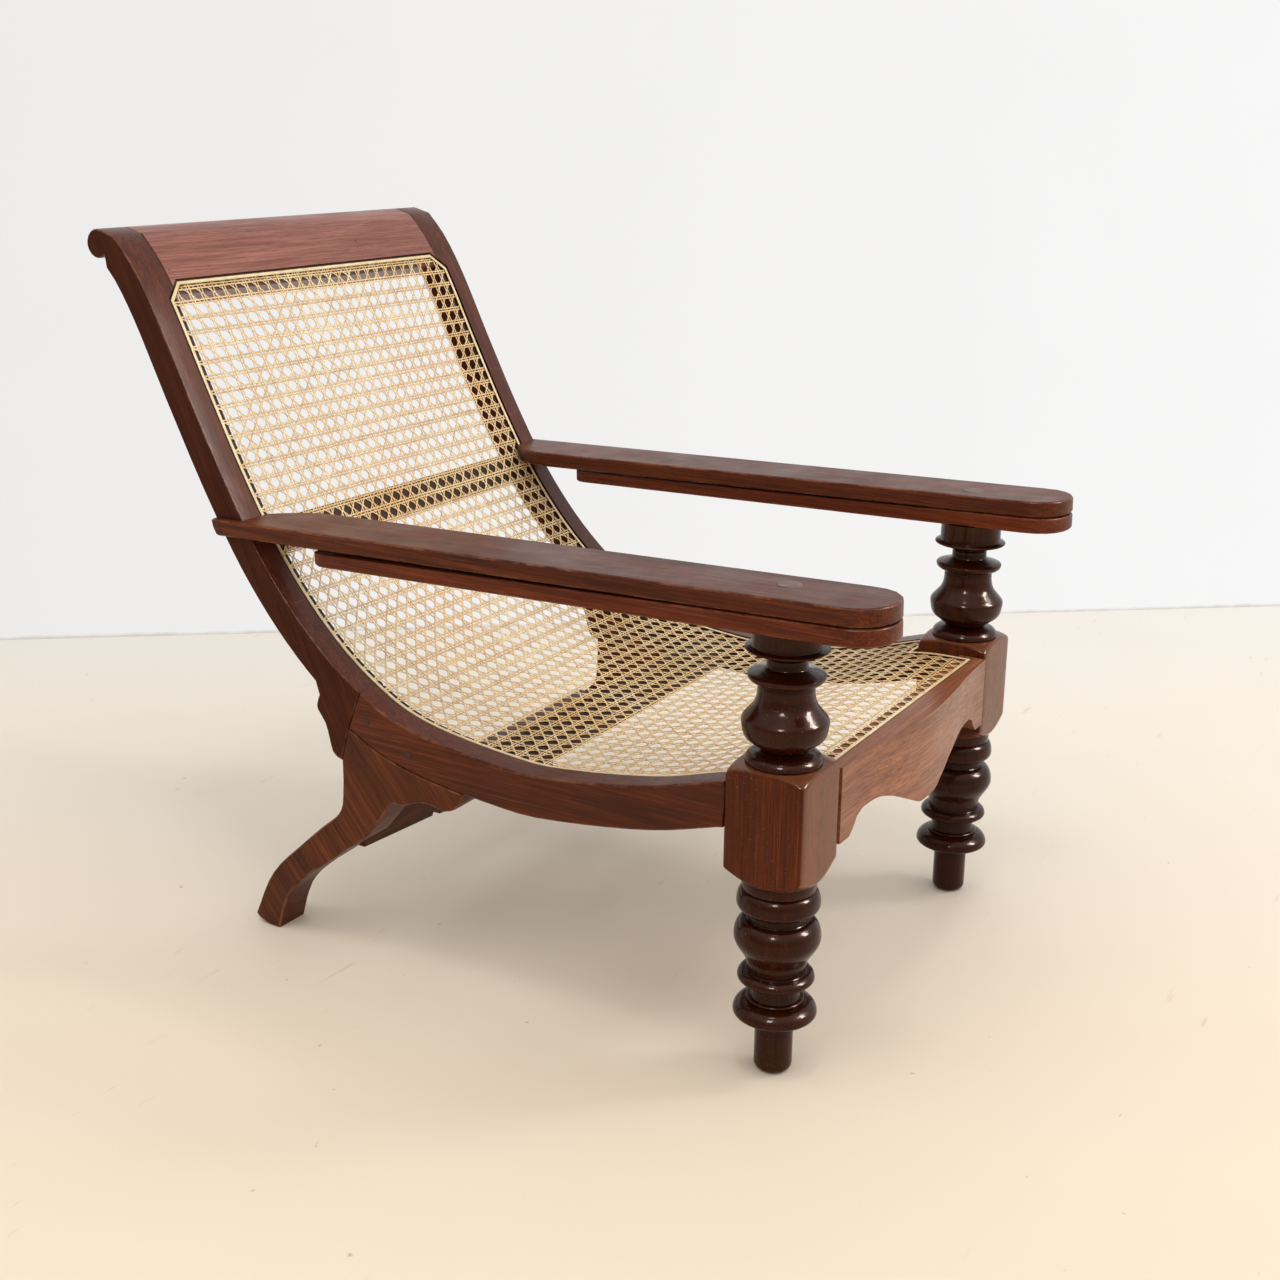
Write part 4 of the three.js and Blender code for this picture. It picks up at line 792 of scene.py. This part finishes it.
weave(cane("split_cane", "c6995a", "fdeabc", "dca254", 0.38))
binding(cane("binding_cane", "c8ae7d", "f2e3bd", "d9b67c", 0.36))

LEFT_SEED = 5.3                 # moves the figure of the left side's wood
DIM_PEG, ARM_PEG = ("1f100b", "44291e"), ("1c0d09", "43271d")
for side, move in (("right", 0.0), ("left", LEFT_SEED)):
    front_leg(side, wood(f"{side}_turned_wood", "z", "240903", "66290c", 1.1 + move, 0.24, 0.22, 0.05,
                         level=0.1, tint=(1.0, 0.6, 0.4, 1.0), grooves=True))
    woods = {
        "stile": wood(f"{side}_stile_wood", "z", "280d07", "67301c", 2.2 + move, 0.33, 0.3, 0.22,
                      lean=0.45, level=0.1, dull_shaded_sides=True),
        "seat_rail": wood(f"{side}_rail_wood", "y", "2d0e05", "6e3017", 3.4 + move, 0.36, 0.1, figure=0.6),
        "rear_leg": wood(f"{side}_rear_leg_wood", "z", "270c04", "6c351a", 4.6 + move, 0.42, lean=0.7),
        "arm": wood(f"{side}_arm_wood", "y", "2d0e07", "6f351d", 5.8 + move, 0.38),
        "leg_rest": wood(f"{side}_leg_rest_wood", "y", "341007", "77351b", 6.9 + move, 0.42),
    }
    for part, material in woods.items():
        node = f"{side}_{part}"
        belongs(dressed(node, material), node if part == "leg_rest" else "frame",
                "wood_light" if part == "arm" else "wood_dark", node)
    pegs = {"arm_plug": ("54403a", "7d675c"), "scarf_peg": DIM_PEG, "leg_peg": DIM_PEG,
            "arm_peg_1": ARM_PEG, "arm_peg_2": ARM_PEG}
    for index, (part, tones) in enumerate(pegs.items()):
        node = f"{side}_{part}"
        belongs(dressed(node, end_grain(f"{node}_end", *tones, index + move)), "frame", "peg_wood", node)

# painted light: the front rail and the crest have lighter, pinker tones for the window light and sheen on
# their faces
front_wood = wood("front_rail_wood", "x", "5a2c1c", "b27553", 12.1, 0.34, 0.2, 0.2, figure=0.8)
crest_wood = wood("crest_wood", "x", "5c2c22", "a86e62", 13.3, 0.36, 0.32, 0.25, figure=0.7)
shared = {
    "front_rail": ("wood_light", front_wood),
    "crest_rail": ("wood_light", crest_wood),
    "lower_back_rail": ("wood_dark", wood("back_cross_wood", "x", "26120c", "4d2a1e", 14.5, 0.5, 0.0)),
    "seat_cross_rail": ("wood_dark", wood("seat_cross_wood", "x", "26120c", "4d2a1e", 15.7, 0.5, 0.0)),
    "rear_stretcher": ("wood_dark", wood("stretcher_wood", "x", "2c140d", "5f3325", 16.9, 0.46, 0.1)),
}
for node, (slot, material) in shared.items():
    belongs(dressed(node, material), "frame", slot, node)

bpy.context.scene.view_settings.view_transform = "Standard"
